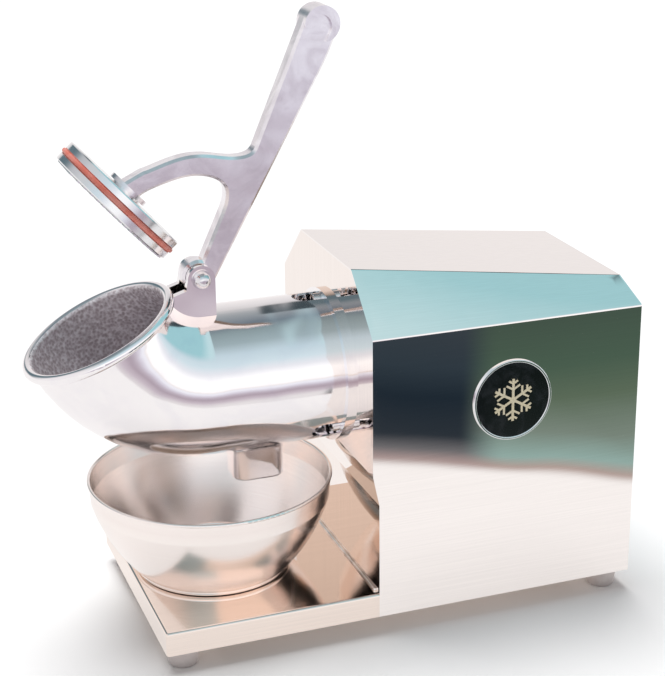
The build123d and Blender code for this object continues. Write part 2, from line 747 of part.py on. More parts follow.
def pusher_front_plate():
    """Plate that meets the ice, with straight grip ribs."""
    start = seal_thickness / 2
    plate = pusher_disc(start, pusher_plate, pusher_diameter)
    plate = chamfer(plate.edges().filter_by(GeomType.CIRCLE), 0.8)
    face = start + pusher_plate
    rib_span = pusher_diameter / 2 - 3
    count = int(rib_span / rib_pitch)
    middle_clear = pusher_bolt_head_diameter / 2 + 1.5
    plane = hinge_plane(pusher_angle, face).location
    for i in range(-count, count + 1):
        u = i * rib_pitch
        v = sqrt(rib_span ** 2 - u ** 2)
        inner = sqrt(middle_clear ** 2 - u ** 2) if abs(u) < middle_clear else 0.0
        spans = [(-v, -inner), (inner, v)] if inner else [(-v, v)]
        for v0, v1 in spans:
            plate += plane * Pos(u, (v0 + v1) / 2, rib_height / 2 - 0.1) * Box(rib_width, v1 - v0,
                                                                               rib_height + 0.2)
    for u, v in clamp_screw_places():
        plate -= plane * Pos(u, v, 0) * Cylinder(clamp_screw_head_diameter / 2 + 0.2, 2 * 3.0)
    plate -= plane * Cylinder(pusher_bolt_head_diameter / 2 + 0.2, 2 * 4.5)
    return plate - pusher_holes()


def sunk_screw(u, v, diameter, head_diameter, head_height, length):
    """Flat-head screw sunk in the front plate, pointing back along the swing."""
    face = seal_thickness / 2 + pusher_plate
    plane = hinge_plane(pusher_angle, face).location
    head = plane * Pos(u, v, -head_height / 2) * Cylinder(head_diameter / 2, head_height)
    shank = plane * Pos(u, v, -head_height - length / 2) * Cylinder(diameter / 2, length)
    socket = plane * Pos(u, v, -head_height * 0.6) * extrude(RegularPolygon(diameter * 0.45, 6),
                                                             amount=head_height)
    return head + shank - socket


# ---------------------------------------------------------------- shaft, blade disc, bearings

def shaft():
    """One stepped shaft from the blade disc to the fan."""
    thread_end = disc_front_x - disc_washer_thickness - cap_nut_height * 0.7
    body = rod_x(disc_front_x, shaft_rear_x, shaft_diameter / 2)
    body += rod_x(thread_end, disc_front_x, shaft_thread_diameter / 2)
    body = chamfer(body.faces().sort_by(Axis.X)[-1].edges(), 1.0)
    return body - key_block()


def key_block():
    """Square key between shaft and hub."""
    return box(disc_rear_x + 1, disc_rear_x + 1 + key_length, -key_width / 2, key_width / 2,
               shaft_height + shaft_diameter / 2 - key_width / 2,
               shaft_height + shaft_diameter / 2 + key_width / 2)


def blade_plan(width_low, width_high, length):
    """(y, z) corners of a radial strip beside the line along +Y from the shaft."""
    y0, y1 = blade_mid_radius - length / 2, blade_mid_radius + length / 2
    return y0, y1, shaft_height + width_low, shaft_height + width_high


def blade_disc():
    """Round disc with slots, blade seats and a hub behind."""
    disc = rod_x(disc_front_x, disc_rear_x, drum_radius - disc_clearance)
    disc += rod_x(disc_rear_x, disc_rear_x + hub_length, hub_diameter / 2)
    y0, y1, z0, z1 = blade_plan(0, blade_slot_width, blade_length)
    slot = box(disc_front_x - 1, disc_rear_x + 1, y0, y1, z0, z1)
    y0, y1, z0, z1 = blade_plan(1.0 - blade_width, 1.0, blade_length)
    seat = box(disc_front_x - 1, disc_front_x + blade_thickness - blade_proud, y0, y1, z0, z1)
    for cut in around_shaft(slot + seat, blade_count):
        disc -= cut
    for y, z in blade_screw_offsets():
        hole = rod_x(disc_front_x - 1, disc_rear_x + 1, blade_screw_diameter / 2, y, z)
        for cut in around_shaft(hole, blade_count):
            disc -= cut
    disc -= rod_x(disc_front_x - 1, disc_rear_x + hub_length + 1, shaft_diameter / 2)
    return disc - key_block()


def blade_screw_offsets():
    """(y, z) of one blade's two screws."""
    z = shaft_height + 1.0 - blade_width + 5.0
    return [(blade_mid_radius - 9.5, z), (blade_mid_radius + 9.5, z)]


def shaving_blade():
    """Flat blade whose sharp edge stands over the slot."""
    y0, y1, z0, z1 = blade_plan(1.0 - blade_width, 1.0, blade_length)
    front = disc_front_x - blade_proud
    back = front + blade_thickness
    face = make_face(Polyline((front, y0, z0), (front, y0, z1), (back, y0, z1 - 3.0), (back, y0, z0),
                              close=True))
    blade = extrude(face, amount=y1 - y0, dir=(0, 1, 0))
    for y, z in blade_screw_offsets():
        blade -= rod_x(front - 1, back + 1, blade_screw_diameter / 2, y, z)
    return blade


def blade_screws():
    """Low round-head screws, two for each blade."""
    front = disc_front_x - blade_proud
    made = []
    for y, z in blade_screw_offsets():
        screw = rod_x(front - 1.4, front, blade_screw_diameter * 0.9, y, z)
        screw += rod_x(front, disc_rear_x, blade_screw_diameter / 2, y, z)
        screw -= box(front - 2, front - 0.7, y - 4, y + 4, z - 0.4, z + 0.4)
        made += around_shaft(screw, blade_count)
    return made


def cap_nut():
    """Hexagon nut with a domed cap on the shaft's threaded end."""
    seat = disc_front_x - disc_washer_thickness
    hexagon = Pos(seat - cap_nut_height * 0.55, 0, shaft_height) * Rot(0, 90, 0) * extrude(
        RegularPolygon(cap_nut_diameter / 2, 6, major_radius=False), amount=cap_nut_height * 0.55)
    cap = rod_x(seat - cap_nut_height, seat - cap_nut_height * 0.5, cap_nut_diameter / 2 - 2)
    cap = fillet(cap.faces().sort_by(Axis.X)[0].edges(), cap_nut_height * 0.4)
    return hexagon + cap - rod_x(seat - cap_nut_height * 0.7, seat + 1, shaft_thread_diameter / 2)


def bearing_places():
    """Where each ball bearing begins along the shaft."""
    return [drum_bearing_x, motor_x + bell_wall, rear_bell_end_x - bell_wall - bearing_width]


def bearing_balls():
    """Balls of all bearings, with a running gap to both rings."""
    middle = (bearing_inner_ring_diameter + bearing_outer_ring_bore) / 4
    radius = (bearing_outer_ring_bore - bearing_inner_ring_diameter) / 4 - running_clearance
    balls = []
    for x in bearing_places():
        y, z = on_circle(middle, 0)
        balls += around_shaft(Pos(x + bearing_width / 2, y, z) * Sphere(radius), 9)
    return balls


# ---------------------------------------------------------------- motor and bracket

def plate_bolt_places():
    """(x, y) of the motor plate's bolts through the deck."""
    x = plate_x + plate_foot_length - 14
    half = plate_bolt_spacing / 2
    return [(px, y) for px in (motor_x + 12, x) for y in (-half, half)]


def motor_plate():
    """Bent steel bracket: an upright plate and a foot on the deck."""
    half = plate_width / 2
    upright = box(plate_x, motor_x, -half, half, deck_z, shaft_height + plate_above_shaft)
    upper = upright.edges().filter_by(Axis.X).group_by(Axis.Z)[-1]
    upright = fillet(upper, 20)
    foot_part = box(plate_x, plate_x + plate_foot_length, -half, half, deck_z, deck_z + plate_thickness)
    plate = upright + foot_part
    for side in (-1, 1):
        y0, y1 = sorted((side * half, side * (half - plate_thickness)))
        plate += profile_y([(motor_x - 0.01, deck_z + plate_thickness - 0.01),
                            (plate_x + plate_foot_length - 4, deck_z + plate_thickness - 0.01),
                            (motor_x - 0.01, deck_z + 70)], y0, y1)
    plate -= rod_x(plate_x - 1, motor_x + 1, motor_pilot_diameter / 2)
    for y, z in flange_screw_places():
        plate -= rod_x(plate_x - 1, motor_x + 1, flange_screw_diameter / 2, y, z)
    for y, z in face_screw_places():
        plate -= rod_x(plate_x - 1, motor_x + 1, 2.7, y, z)
    for x, y in plate_bolt_places():
        plate -= rod_z(deck_z - 1, deck_z + plate_thickness + 1, plate_bolt_diameter / 2 + 0.2, x, y)
    return plate


def plate_bolt(x, y):
    """Hexagon bolt down through the bracket's foot and the deck."""
    seat = deck_z + plate_thickness
    head = Pos(x, y, seat) * extrude(RegularPolygon(5, 6, major_radius=False), amount=4)
    return head + rod_z(deck_z - sheet - 7, seat, plate_bolt_diameter / 2, x, y)


def face_screw_places():
    """(y, z) of the screws between plate and motor."""
    return [on_circle(face_screw_radius, 45 + 90 * i) for i in range(4)]


def through_bolt_places():
    """(y, z) of the bolts that clamp the motor's bells."""
    return [on_circle(through_bolt_radius, 90 * i) for i in range(4)]


def motor_bell(front):
    """A cast end bell: cup, bearing boss and air slots. The rear bell is the same cup, turned round."""
    length = front_bell_length if front else rear_bell_length
    outer = motor_x if front else rear_bell_end_x
    into = 1 if front else -1

    def span(a, b, radius, y=0.0, z=shaft_height):
        x0, x1 = sorted((outer + into * a, outer + into * b))
        return rod_x(x0, x1, radius, y, z)

    bell = span(0, length, motor_diameter / 2) - span(bell_wall, length + 1, motor_diameter / 2 - bell_wall)
    bell += span(bell_wall - 0.01, bell_wall + bearing_width, bearing_outer_diameter / 2 + 4)
    bell -= span(bell_wall, bell_wall + bearing_width + 1, bearing_outer_diameter / 2)
    if front:
        bell += span(-plate_thickness * 0.8, 0, motor_pilot_diameter / 2)
    for i in range(air_hole_count if not front else 0):
        y, z = on_circle(air_hole_radius, 30 + 360 * i / air_hole_count)
        bell -= span(-1, bell_wall + 1, air_hole_diameter / 2, y, z)
    bell -= span(-plate_thickness - 1, bell_wall + 1, shaft_diameter / 2 + 0.8)
    for y, z in through_bolt_places():
        bell += span(0, length, 5, y, z) & span(0, length, motor_diameter / 2)
        bell -= span(-1, length + 1, through_bolt_diameter / 2, y, z)
    if front:
        for y, z in face_screw_places():
            bell -= span(-1, bell_wall + 1, 2.5, y, z)
    return bell


def stator_core():
    """Laminated ring with holes for the through bolts."""
    x0 = stator_x + (stator_length - stator_core_length) / 2
    core = ring_x(x0, x0 + stator_core_length, motor_radius - case_wall, stator_bore_radius)
    for y, z in through_bolt_places():
        core -= rod_x(x0 - 1, x0 + stator_core_length + 1, through_bolt_diameter / 2, y, z)
    return core


def windings():
    """Copper winding heads on both ends of the stator core."""
    x0 = stator_x + (stator_length - stator_core_length) / 2
    inner, outer = stator_bore_radius + 2, through_bolt_radius - through_bolt_diameter
    heads = [ring_x(x0 - winding_overhang, x0, outer, inner),
             ring_x(x0 + stator_core_length, x0 + stator_core_length + winding_overhang, outer, inner)]
    return [fillet(h.edges().filter_by(GeomType.CIRCLE), 3.0) for h in heads]


def rotor_core():
    """Rotor cage pressed on the shaft."""
    x0 = stator_x + (stator_length - stator_core_length) / 2
    return ring_x(x0, x0 + stator_core_length, stator_bore_radius - air_gap, shaft_diameter / 2)


def cooling_fan():
    """Moulded fan: hub, back plate and straight blades."""
    fan = ring_x(fan_x, fan_x + fan_length, fan_hub_diameter / 2, shaft_diameter / 2)
    fan += ring_x(fan_x + fan_length - 2, fan_x + fan_length, fan_radius, fan_hub_diameter / 2 - 1)
    blade = box(fan_x, fan_x + fan_length - 1, fan_hub_diameter / 2 - 1, fan_radius - 1,
                shaft_height - 1, shaft_height + 1)
    for part in around_shaft(blade, fan_blade_count):
        fan += part
    return fan


def capacitor_place():
    """(x, y, z) of the capacitor's middle, on the deck behind the bracket."""
    return motor_x + capacitor_behind, capacitor_inset - half_width, deck_z + capacitor_diameter / 2 + 1.5


def capacitor():
    """Run capacitor: can and two terminals."""
    x, y, z = capacitor_place()
    can = rod_x(x - capacitor_length / 2, x + capacitor_length / 2, capacitor_diameter / 2, y, z)
    can = fillet(can.edges().filter_by(GeomType.CIRCLE), 1.5)
    for side in (-1, 1):
        can += box(x - capacitor_length / 2 - 8, x - capacitor_length / 2 + 1, y + side * 6 - 0.5,
                   y + side * 6 + 0.5, z - 3, z + 3)
    return can


def capacitor_clamp():
    """Strap round the capacitor with two feet on the deck."""
    x, y, z = capacitor_place()
    outer = capacitor_diameter / 2 + 1.5
    strap = rod_x(x - 7, x + 7, outer, y, z) + box(x - 7, x + 7, y - outer - 12, y + outer + 12, deck_z,
                                                   deck_z + 1.5)
    strap -= rod_x(x - 8, x + 8, capacitor_diameter / 2, y, z)
    for side in (-1, 1):
        strap -= rod_z(deck_z - 1, deck_z + 2, 2.0, x, y + side * (outer + 6))
    return strap


def clamp_screws():
    """Screws in the clamp's feet."""
    x, y, z = capacitor_place()
    made = []
    for side in (-1, 1):
        at_y = y + side * (capacitor_diameter / 2 + 7.5)
        head = rod_z(deck_z + 1.5, deck_z + 4, 3.5, x, at_y)
        made.append(head + rod_z(deck_z, deck_z + 1.5, 2.0, x, at_y))
    return made


# ---------------------------------------------------------------- rear panel fittings

def rocker_body_size():
    """Width and height of the switch's body behind the panel."""
    return (rocker_width + 2 * rocker_clearance + 2 * rocker_frame_wall,
            rocker_opening_height + 2 * rocker_frame_wall)


def switch_frame():
    """Frame and body of the rocker switch."""
    width, height = rocker_body_size()
    lip = Pos(rear_x + rocker_frame_lip / 2, switch_y, switch_z) * Box(rocker_frame_lip, width + 4,
                                                                       height + 4)
    lip = chamfer(lip.faces().sort_by(Axis.X)[-1].edges(), 0.8)
    body = box(rear_x - rocker_body_depth, rear_x, switch_y - width / 2, switch_y + width / 2,
               switch_z - height / 2, switch_z + height / 2)
    room = box(rear_x - 13, rear_x + 9, switch_y - rocker_width / 2 - rocker_clearance,
               switch_y + rocker_width / 2 + rocker_clearance, switch_z - rocker_opening_height / 2,
               switch_z + rocker_opening_height / 2)
    reach = rocker_width / 2 + 1.6
    pivot = rod_y(switch_y - reach, switch_y + reach, 1.5 + running_clearance, rear_x - 1.0, switch_z)
    return lip + body - room - pivot


def switch_rocker():
    """Moving rocker, resting in its off position, with its pivot pins."""
    half = rocker_height / 2
    rise = half * sin(radians(rocker_swing / 2))
    pivot_x = rear_x - 1.0
    shape = [(2.2 + rise, -half), (2.2, 0), (2.2 + rise, half), (-3.5, half - 0.8), (-8, 3), (-8, -3),
             (-3.5, -half + 0.8)]
    key = profile_y([(pivot_x + x, switch_z + z) for x, z in shape], switch_y - rocker_width / 2,
                    switch_y + rocker_width / 2)
    key += rod_y(switch_y - rocker_width / 2 - 1.5, switch_y + rocker_width / 2 + 1.5, 1.5, pivot_x,
                 switch_z)
    return Pos(pivot_x, 0, switch_z) * Rot(0, -rocker_swing / 2, 0) * Pos(-pivot_x, 0, -switch_z) * key


def inlet_screw_places():
    """(y, z) of the inlet's screws."""
    reach = inlet_lip_width / 2 - 5
    return [(inlet_y - reach, inlet_z), (inlet_y + reach, inlet_z)]


def power_inlet():
    """Appliance inlet: lip, body and socket."""
    lip = Pos(rear_x + inlet_lip_thickness / 2, inlet_y, inlet_z) * Box(
        inlet_lip_thickness, inlet_lip_width, inlet_height)
    lip = chamfer(lip.edges().filter_by(Axis.X), 5.0)
    body = box(rear_x - inlet_depth, rear_x, inlet_y - inlet_width / 2, inlet_y + inlet_width / 2,
               inlet_z - inlet_height / 2 + 1.5, inlet_z + inlet_height / 2 - 1.5)
    socket = box(rear_x + inlet_lip_thickness - inlet_socket_depth, rear_x + inlet_lip_thickness + 1,
                 inlet_y - inlet_socket_width / 2, inlet_y + inlet_socket_width / 2,
                 inlet_z - inlet_socket_height / 2, inlet_z + inlet_socket_height / 2)
    inlet = lip + body - socket
    for y, z in inlet_screw_places():
        inlet -= rod_x(rear_x - 1, rear_x + inlet_lip_thickness + 1, panel_screw_diameter / 2, y, z)
    return inlet


def inlet_pins():
    """Three flat pins in the inlet's socket."""
    back = rear_x + inlet_lip_thickness - inlet_socket_depth
    places = ((-7, -2), (0, 2), (7, -2))
    return [Pos(back + 6, inlet_y + dy, inlet_z + dz) * Box(12, 2, 4) for dy, dz in places]


# ---------------------------------------------------------------- bowl and badge

def bowl():
    """Pressed steel bowl: flat base, curved wall, straight band and a rolled rim."""
    band_z = bowl_height - bowl_band_height
    band_r = bowl_rim_radius - bowl_band_inset
    base = bowl_base_radius
    outer = [Line((0, 0), (base - 3, 0)),
             ThreePointArc((base - 3, 0), (base - 0.6, 1.0), (base, 3.4)),
             ThreePointArc((base, 3.4), ((base + band_r) / 2 + 2.2, band_z * 0.47), (band_r, band_z)),
             Line((band_r, band_z), (bowl_rim_radius, bowl_height))]
    w = bowl_wall
    inner = [Line((bowl_rim_radius, bowl_height), (bowl_rim_radius - w, bowl_height)),
             Line((bowl_rim_radius - w, bowl_height), (band_r - w, band_z + 0.4)),
             ThreePointArc((band_r - w, band_z + 0.4), ((base + band_r) / 2 + 2.2 - w, band_z * 0.47 + 0.5),
                           (base - w, 4.2)),
             ThreePointArc((base - w, 4.2), (base - w - 1.0, 2.0), (base - 4, w)),
             Line((base - 4, w), (0, w)), Line((0, w), (0, 0))]
    face = Rot(90, 0, 0) * make_face(outer + inner)
    body = revolve(face, axis=Axis.Z, revolution_arc=360)
    body += Pos(0, 0, bowl_height - bowl_rim_bead) * Torus(bowl_rim_radius - w / 2, bowl_rim_bead)
    return Pos(upper_panel_x - bowl_to_panel, 0, deck_z + lift_clearance) * body


def badge_place(depth):
    """Location on the near side, depth outward from the cover's face, local Z pointing out."""
    return Location((rear_x - badge_from_rear, -half_width - depth, badge_height)) * Location((0, 0, 0),
                                                                                              (90, 0, 0))


def badge_rim():
    """Bright ring round the badge."""
    outer = badge_diameter / 2
    ring = Pos(0, 0, badge_rim_height / 2) * (Cylinder(outer, badge_rim_height) - Cylinder(
        outer - badge_rim_width, badge_rim_height + 2))
    ring = fillet(ring.faces().sort_by(Axis.Z)[-1].edges(), 0.7)
    return badge_place(0) * ring


def badge_plate():
    """Flat plate inside the ring."""
    return badge_place(0) * Pos(0, 0, badge_plate_thickness / 2) * Cylinder(
        badge_diameter / 2 - badge_rim_width, badge_plate_thickness)


def badge_emblem():
    """Plain six-armed snowflake on the plate."""
    half = emblem_height / 2
    arm = Pos(emblem_arm_length / 2, 0, half) * Box(emblem_arm_length, emblem_arm_width, emblem_height)
    for reach, length in ((0.5, 6.5), (0.78, 4.2)):
        for side in (-1, 1):
            branch = Rot(0, 0, side * 60) * Pos(length / 2, 0, half) * Box(length, emblem_arm_width * 0.8,
                                                                           emblem_height)
            arm += Pos(emblem_arm_length * reach, 0, 0) * branch
    flake = Pos(0, 0, half) * Cylinder(2.6, emblem_height)
    for i in range(6):
        flake += Rot(0, 0, 30 + 60 * i) * arm
    return badge_place(badge_plate_thickness) * flake


# ---------------------------------------------------------------- write the nodes

save("base_pan", base_pan())
for label, (fx, fy) in zip(("front_right", "front_left", "rear_right", "rear_left"), foot_places()):
    save(f"foot_{label}", foot(fx, fy))
save("foot_screws", *[foot_screw(x, y) for x, y in foot_places()])
save("foot_nuts", *[hex_nut_z(x, y, skirt_z + sheet, foot_screw_diameter, 4.0) for x, y in foot_places()])

save("housing_cover", housing_cover())
save("front_panel", front_panel())
save("rear_panel", rear_panel())
save("rear_panel_screws", *[pan_screw_x(rear_x, y, z, panel_screw_head_diameter, panel_screw_head_height,
                                        panel_screw_diameter, 9.0) for y, z in panel_screw_places()])

save("feed_tube", feed_tube())
save("flange_screws", *[flange_screw(y, z) for y, z in flange_screw_places()])
save("flange_washers", *[flange_washer(y, z) for y, z in flange_screw_places()])
save("flange_bushes", *[flange_bush(y, z) for y, z in flange_screw_places()])

save("hinge_bolt", hinge_bolt())
save("hinge_dome_nut", hinge_dome_nut())
save("hinge_washers", hinge_washer(-1), hinge_washer(1))
save("lever", lever())
save("pusher_rear_plate", pusher_rear_plate())
save("pusher_seal", pusher_seal())
save("pusher_front_plate", pusher_front_plate())
bolt_length = 2 * pusher_half + pusher_boss_height + foot_pad_thickness - 4.0
save("pusher_bolt", sunk_screw(0, 0, pusher_bolt_diameter, pusher_bolt_head_diameter, 4.0, bolt_length))
save("pusher_clamp_screws", *[sunk_screw(u, v, clamp_screw_diameter, clamp_screw_head_diameter, 2.6,
                                         2 * pusher_half - 2.6 - 1.0) for u, v in clamp_screw_places()])

save("drive_shaft", shaft())
save("blade_disc", blade_disc())
save("shaving_blades", *around_shaft(shaving_blade(), blade_count))
save("blade_screws", *blade_screws())
save("disc_key", key_block())
save("disc_washer", ring_x(disc_front_x - disc_washer_thickness, disc_front_x, disc_washer_diameter / 2,
                           shaft_thread_diameter / 2))
save("disc_cap_nut", cap_nut())
save("lip_seal", ring_x(chamber_rear_x, drum_bearing_x, lip_seal_diameter / 2,
                        shaft_diameter / 2 + seal_lip_clearance))
save("bearing_outer_rings", *[ring_x(x, x + bearing_width, bearing_outer_diameter / 2,
                                     bearing_outer_ring_bore / 2) for x in bearing_places()])
save("bearing_inner_rings", *[ring_x(x, x + bearing_width, bearing_inner_ring_diameter / 2,
                                     shaft_diameter / 2) for x in bearing_places()])
save("bearing_balls", *bearing_balls())

save("motor_plate", motor_plate())
save("motor_plate_bolts", *[plate_bolt(x, y) for x, y in plate_bolt_places()])
save("motor_plate_nuts", *[hex_nut_z(x, y, deck_z - sheet - 5, plate_bolt_diameter, 5.0)
                           for x, y in plate_bolt_places()])
save("motor_face_screws", *[pan_screw_x(plate_x, y, z, 8.5, 3.6, 5.0, plate_thickness + bell_wall, toward=-1)
                            for y, z in face_screw_places()])
save("motor_front_bell", motor_bell(front=True))
save("motor_rear_bell", motor_bell(front=False))
save("motor_case", ring_x(stator_x, rear_bell_x, motor_diameter / 2, motor_diameter / 2 - case_wall))
save("stator_core", stator_core())
save("stator_windings", *windings())
save("motor_through_bolts", *[pan_screw_x(rear_bell_end_x, y, z, 8.5, 3.6, through_bolt_diameter,
                                          rear_bell_end_x - motor_x - 1) for y, z in through_bolt_places()])
save("rotor_core", rotor_core())
save("cooling_fan", cooling_fan())
save("run_capacitor", capacitor())
save("capacitor_clamp", capacitor_clamp())
save("capacitor_clamp_screws", *clamp_screws())

save("switch_frame", switch_frame())
save("switch_rocker", switch_rocker())
save("power_inlet", power_inlet())
save("inlet_pins", *inlet_pins())
save("inlet_screws", *[pan_screw_x(rear_x + inlet_lip_thickness, y, z, 6.0, 2.2, panel_screw_diameter, 10.0)
                       for y, z in inlet_screw_places()])

save("bowl", bowl())
save("badge_rim", badge_rim())
save("badge_plate", badge_plate())
save("badge_emblem", badge_emblem())
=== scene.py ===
# %% [markdown]
# # A countertop ice shaver with a lever and a round pusher
# The machine is a folded stainless housing with a cast feed tube on its front, a cast lever that swings a round
# pusher into the tube's mouth, and a loose bowl on the tray below. Its solids come ready made and each one is a
# separate piece, so most of the work here is finish: what each metal, rubber and plastic looks like up close.
# The solids are loaded first.

# %% Load the solids
import bpy
import math
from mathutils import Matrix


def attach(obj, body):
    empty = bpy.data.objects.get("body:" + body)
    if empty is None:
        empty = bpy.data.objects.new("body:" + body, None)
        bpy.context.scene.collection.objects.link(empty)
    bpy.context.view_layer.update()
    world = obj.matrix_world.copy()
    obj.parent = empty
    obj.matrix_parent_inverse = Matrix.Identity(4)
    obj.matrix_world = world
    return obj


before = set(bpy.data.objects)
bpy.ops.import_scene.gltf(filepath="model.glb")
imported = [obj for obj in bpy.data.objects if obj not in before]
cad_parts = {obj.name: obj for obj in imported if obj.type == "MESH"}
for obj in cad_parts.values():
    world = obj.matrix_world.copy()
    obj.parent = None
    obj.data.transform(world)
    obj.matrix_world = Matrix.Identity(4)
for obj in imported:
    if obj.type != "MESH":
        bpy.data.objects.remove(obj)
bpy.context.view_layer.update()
bpy.ops.object.select_all(action="DESELECT")
print("pieces loaded:", len(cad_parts))

# %% [markdown]
# ## The camera
# A product picture like this one is taken from a little above and from the left front corner. The camera could
# be aimed by eye, but its place, its turn and its focal length were worked out from the base's straight edges,
# because only the right lens gives the right convergence. The small roll is there as well.

# %% Camera
view_from = (-0.410171, -1.173054, 0.662038)
bpy.ops.object.camera_add(location=view_from)
camera = bpy.context.object
camera.name = "picture_camera"
camera.data.sensor_width = 36.0
camera.data.lens = 90.937
camera.data.clip_start = 0.05
camera.data.clip_end = 60.0
turn = math.radians(-19.732)
lift = math.radians(20.03)
roll = math.radians(-0.67)
from mathutils import Matrix
aim = Matrix.Rotation(turn, 4, "Z") @ Matrix.Rotation(math.pi / 2 - lift, 4, "X") @ Matrix.Rotation(roll, 4, "Z")
camera.rotation_euler = aim.to_euler()
bpy.context.scene.camera = camera
print("camera at", [round(v, 3) for v in camera.location])

# %% [markdown]
# ## Helpers for the painting
# A finish is a material with one shader, and a few masks that vary its colour, its roughness and its small
# bumps. The room and the floor are painted with masks too. These helpers keep the cells below short. The first
# adds a node with its settings and its links, and the others are what masks are made of: arithmetic, a soft
# step, a mix of two colours, a mix of two numbers and a row of colour stops.

# %% Helpers: nodes
def add(tree, kind, links=None, **values):
    """Adds a node with its settings, and sets or links its inputs."""
    node = tree.nodes.new(kind)
    for name, value in values.items():
        setattr(node, name, value)
    for key, value in (links or {}).items():
        if isinstance(value, bpy.types.NodeSocket):
            tree.links.new(value, node.inputs[key])
        else:
            node.inputs[key].default_value = value
    return node


def maths(tree, operation, *values):
    """Arithmetic on numbers that vary over a surface."""
    return add(tree, "ShaderNodeMath", operation=operation, links=dict(enumerate(values))).outputs[0]


def soft_step(tree, value, start, full):
    """A mask that is none at start and whole at full."""
    return add(tree, "ShaderNodeMapRange", interpolation_type="SMOOTHSTEP",
               links={"Value": value, "From Min": start, "From Max": full}).outputs["Result"]


def mixed(tree, mask, first, second):
    """Two colours mixed by a mask. Each is a socket or three numbers."""
    tones = [tone if isinstance(tone, bpy.types.NodeSocket) else (*tone, 1) for tone in (first, second)]
    return add(tree, "ShaderNodeMix", data_type="RGBA",
               links={"Factor": mask, "A": tones[0], "B": tones[1]}).outputs["Result"]


def between(tree, mask, first, second):
    """Two numbers mixed by a mask."""
    return add(tree, "ShaderNodeMix", data_type="FLOAT", links={0: mask, 2: first, 3: second}).outputs[0]


def colour_stops(tree, value, stops):
    """A row of colours along a number that goes from 0 to 1."""
    ramp = add(tree, "ShaderNodeValToRGB", links={0: value})
    elements = ramp.color_ramp.elements
    while len(elements) < len(stops):
        elements.new(0.5)
    for stop, (at, tone) in zip(elements, stops):
        stop.position = at
        stop.color = (*tone, 1)
    return ramp.outputs["Color"]


print("node helpers ready")

# %% [markdown]
# ## Light that polished metal needs
# Polished sheet has no colour of its own to speak of: it shows the room. A bare white room makes it look like
# plastic, and an image of a room would tie the file to a picture. So the room is painted by direction instead.
# Going up from the back wall over the ceiling to the front, it is pale, then grey, then dark where the ceiling
# is in shade, then cool and ever lighter towards a bright strip over the camera.

# %% The room's paint
room = bpy.data.worlds.new("studio_room")
bpy.context.scene.world = room
room.use_nodes = True
room.cycles.sampling_method = "NONE"
sky = room.node_tree
sky.nodes.clear()
direction = add(sky, "ShaderNodeTexCoord")
parts = add(sky, "ShaderNodeSeparateXYZ", links={0: direction.outputs["Generated"]})
sideways = parts.outputs["X"]
height = maths(sky, "DIVIDE", maths(sky, "ARCTAN2", parts.outputs["Z"], parts.outputs["Y"]), math.pi)
room_stops = [
    (0.00, (0.95, 0.91, 0.90)), (0.14, (0.82, 0.795, 0.795)), (0.20, (0.70, 0.68, 0.68)),
    (0.30, (0.36, 0.39, 0.41)), (0.42, (0.16, 0.20, 0.24)), (0.50, (0.27, 0.35, 0.37)),
    (0.61, (0.36, 0.46, 0.49)), (0.70, (0.58, 0.72, 0.79)), (0.79, (0.68, 0.82, 0.88)),
    (0.86, (0.88, 0.90, 0.95)), (0.92, (1.18, 1.18, 1.18)), (1.00, (1.12, 1.10, 1.10)),
]
paint = colour_stops(sky, height, room_stops)
print("room painted in", len(room_stops), "bands")

# %% [markdown]
# ## Cards in the room
# A photographer stands cards round polished metal, so that each face shows a clean tone. A wide cool card on the
# right gives the sloped facet its colour, and a dark strip under it draws the fold above the facet and a streak
# along the top of the tube. A dark card far back on the left darkens the rims of the mouth, the bowl and the
# pusher's plates, and the lever's long left edge.

# %% Cards
def card(under, colour, *masks):
    """A coloured card in front of what is there already, where all its masks are whole."""
    whole = masks[0]
    for mask in masks[1:]:
        whole = maths(sky, "MULTIPLY", whole, mask)
    return mixed(sky, whole, under, colour)


cool_tone = colour_stops(sky, sideways, [(0.34, (0.57, 0.79, 0.83)), (0.49, (0.36, 0.64, 0.69))])
paint = card(paint, (0.05, 0.07, 0.08), soft_step(sky, sideways, 0.27, 0.30), soft_step(sky, height, 0.18, 0.22),
             soft_step(sky, height, 0.34, 0.32))
paint = card(paint, cool_tone, soft_step(sky, sideways, 0.295, 0.335), soft_step(sky, height, 0.315, 0.332),
             soft_step(sky, height, 0.76, 0.68))
paint = card(paint, (0.13, 0.19, 0.22), soft_step(sky, sideways, -0.10, -0.24),
             soft_step(sky, height, 0.02, 0.08), soft_step(sky, height, 0.36, 0.26))
print("3 cards placed")

# %% [markdown]
# ## Warm light between polished faces
# Where one polished face shows another, as between the bowl, the tray and the front panel, the picture should be
# warm and brown. The colour of the metal alone could do that only by browning its first reflections as well. So
# the bounces are counted, and a ray that has met two polished faces sees a warmer room than a ray that has met
# one. The left wall stays pale for all of them.

# %% Warm second bounce
kind = add(sky, "ShaderNodeLightPath")
warm_stops = [(0.0, (0.90, 0.78, 0.70)), (0.15, (0.84, 0.71, 0.63)), (0.24, (0.22, 0.155, 0.11)),
              (0.48, (0.24, 0.18, 0.14)), (0.60, (1.15, 1.02, 0.95)), (1.0, (1.25, 1.16, 1.12))]
low_or_near = maths(sky, "MAXIMUM", soft_step(sky, height, 0.24, 0.20), soft_step(sky, sideways, -0.17, -0.10))
paint = card(paint, colour_stops(sky, height, warm_stops), soft_step(sky, kind.outputs["Glossy Depth"], 1.2, 1.8),
             low_or_near)
paint = card(paint, (0.93, 0.90, 0.91), soft_step(sky, sideways, -0.45, -0.85))
print("second bounce painted in", len(warm_stops), "stops")

# %% [markdown]
# ## Who sees what
# Only mirror-like rays see the paint. Soft surfaces get one even, neutral level, so that their colours stay as
# they are written, and the picture's background is plain white.

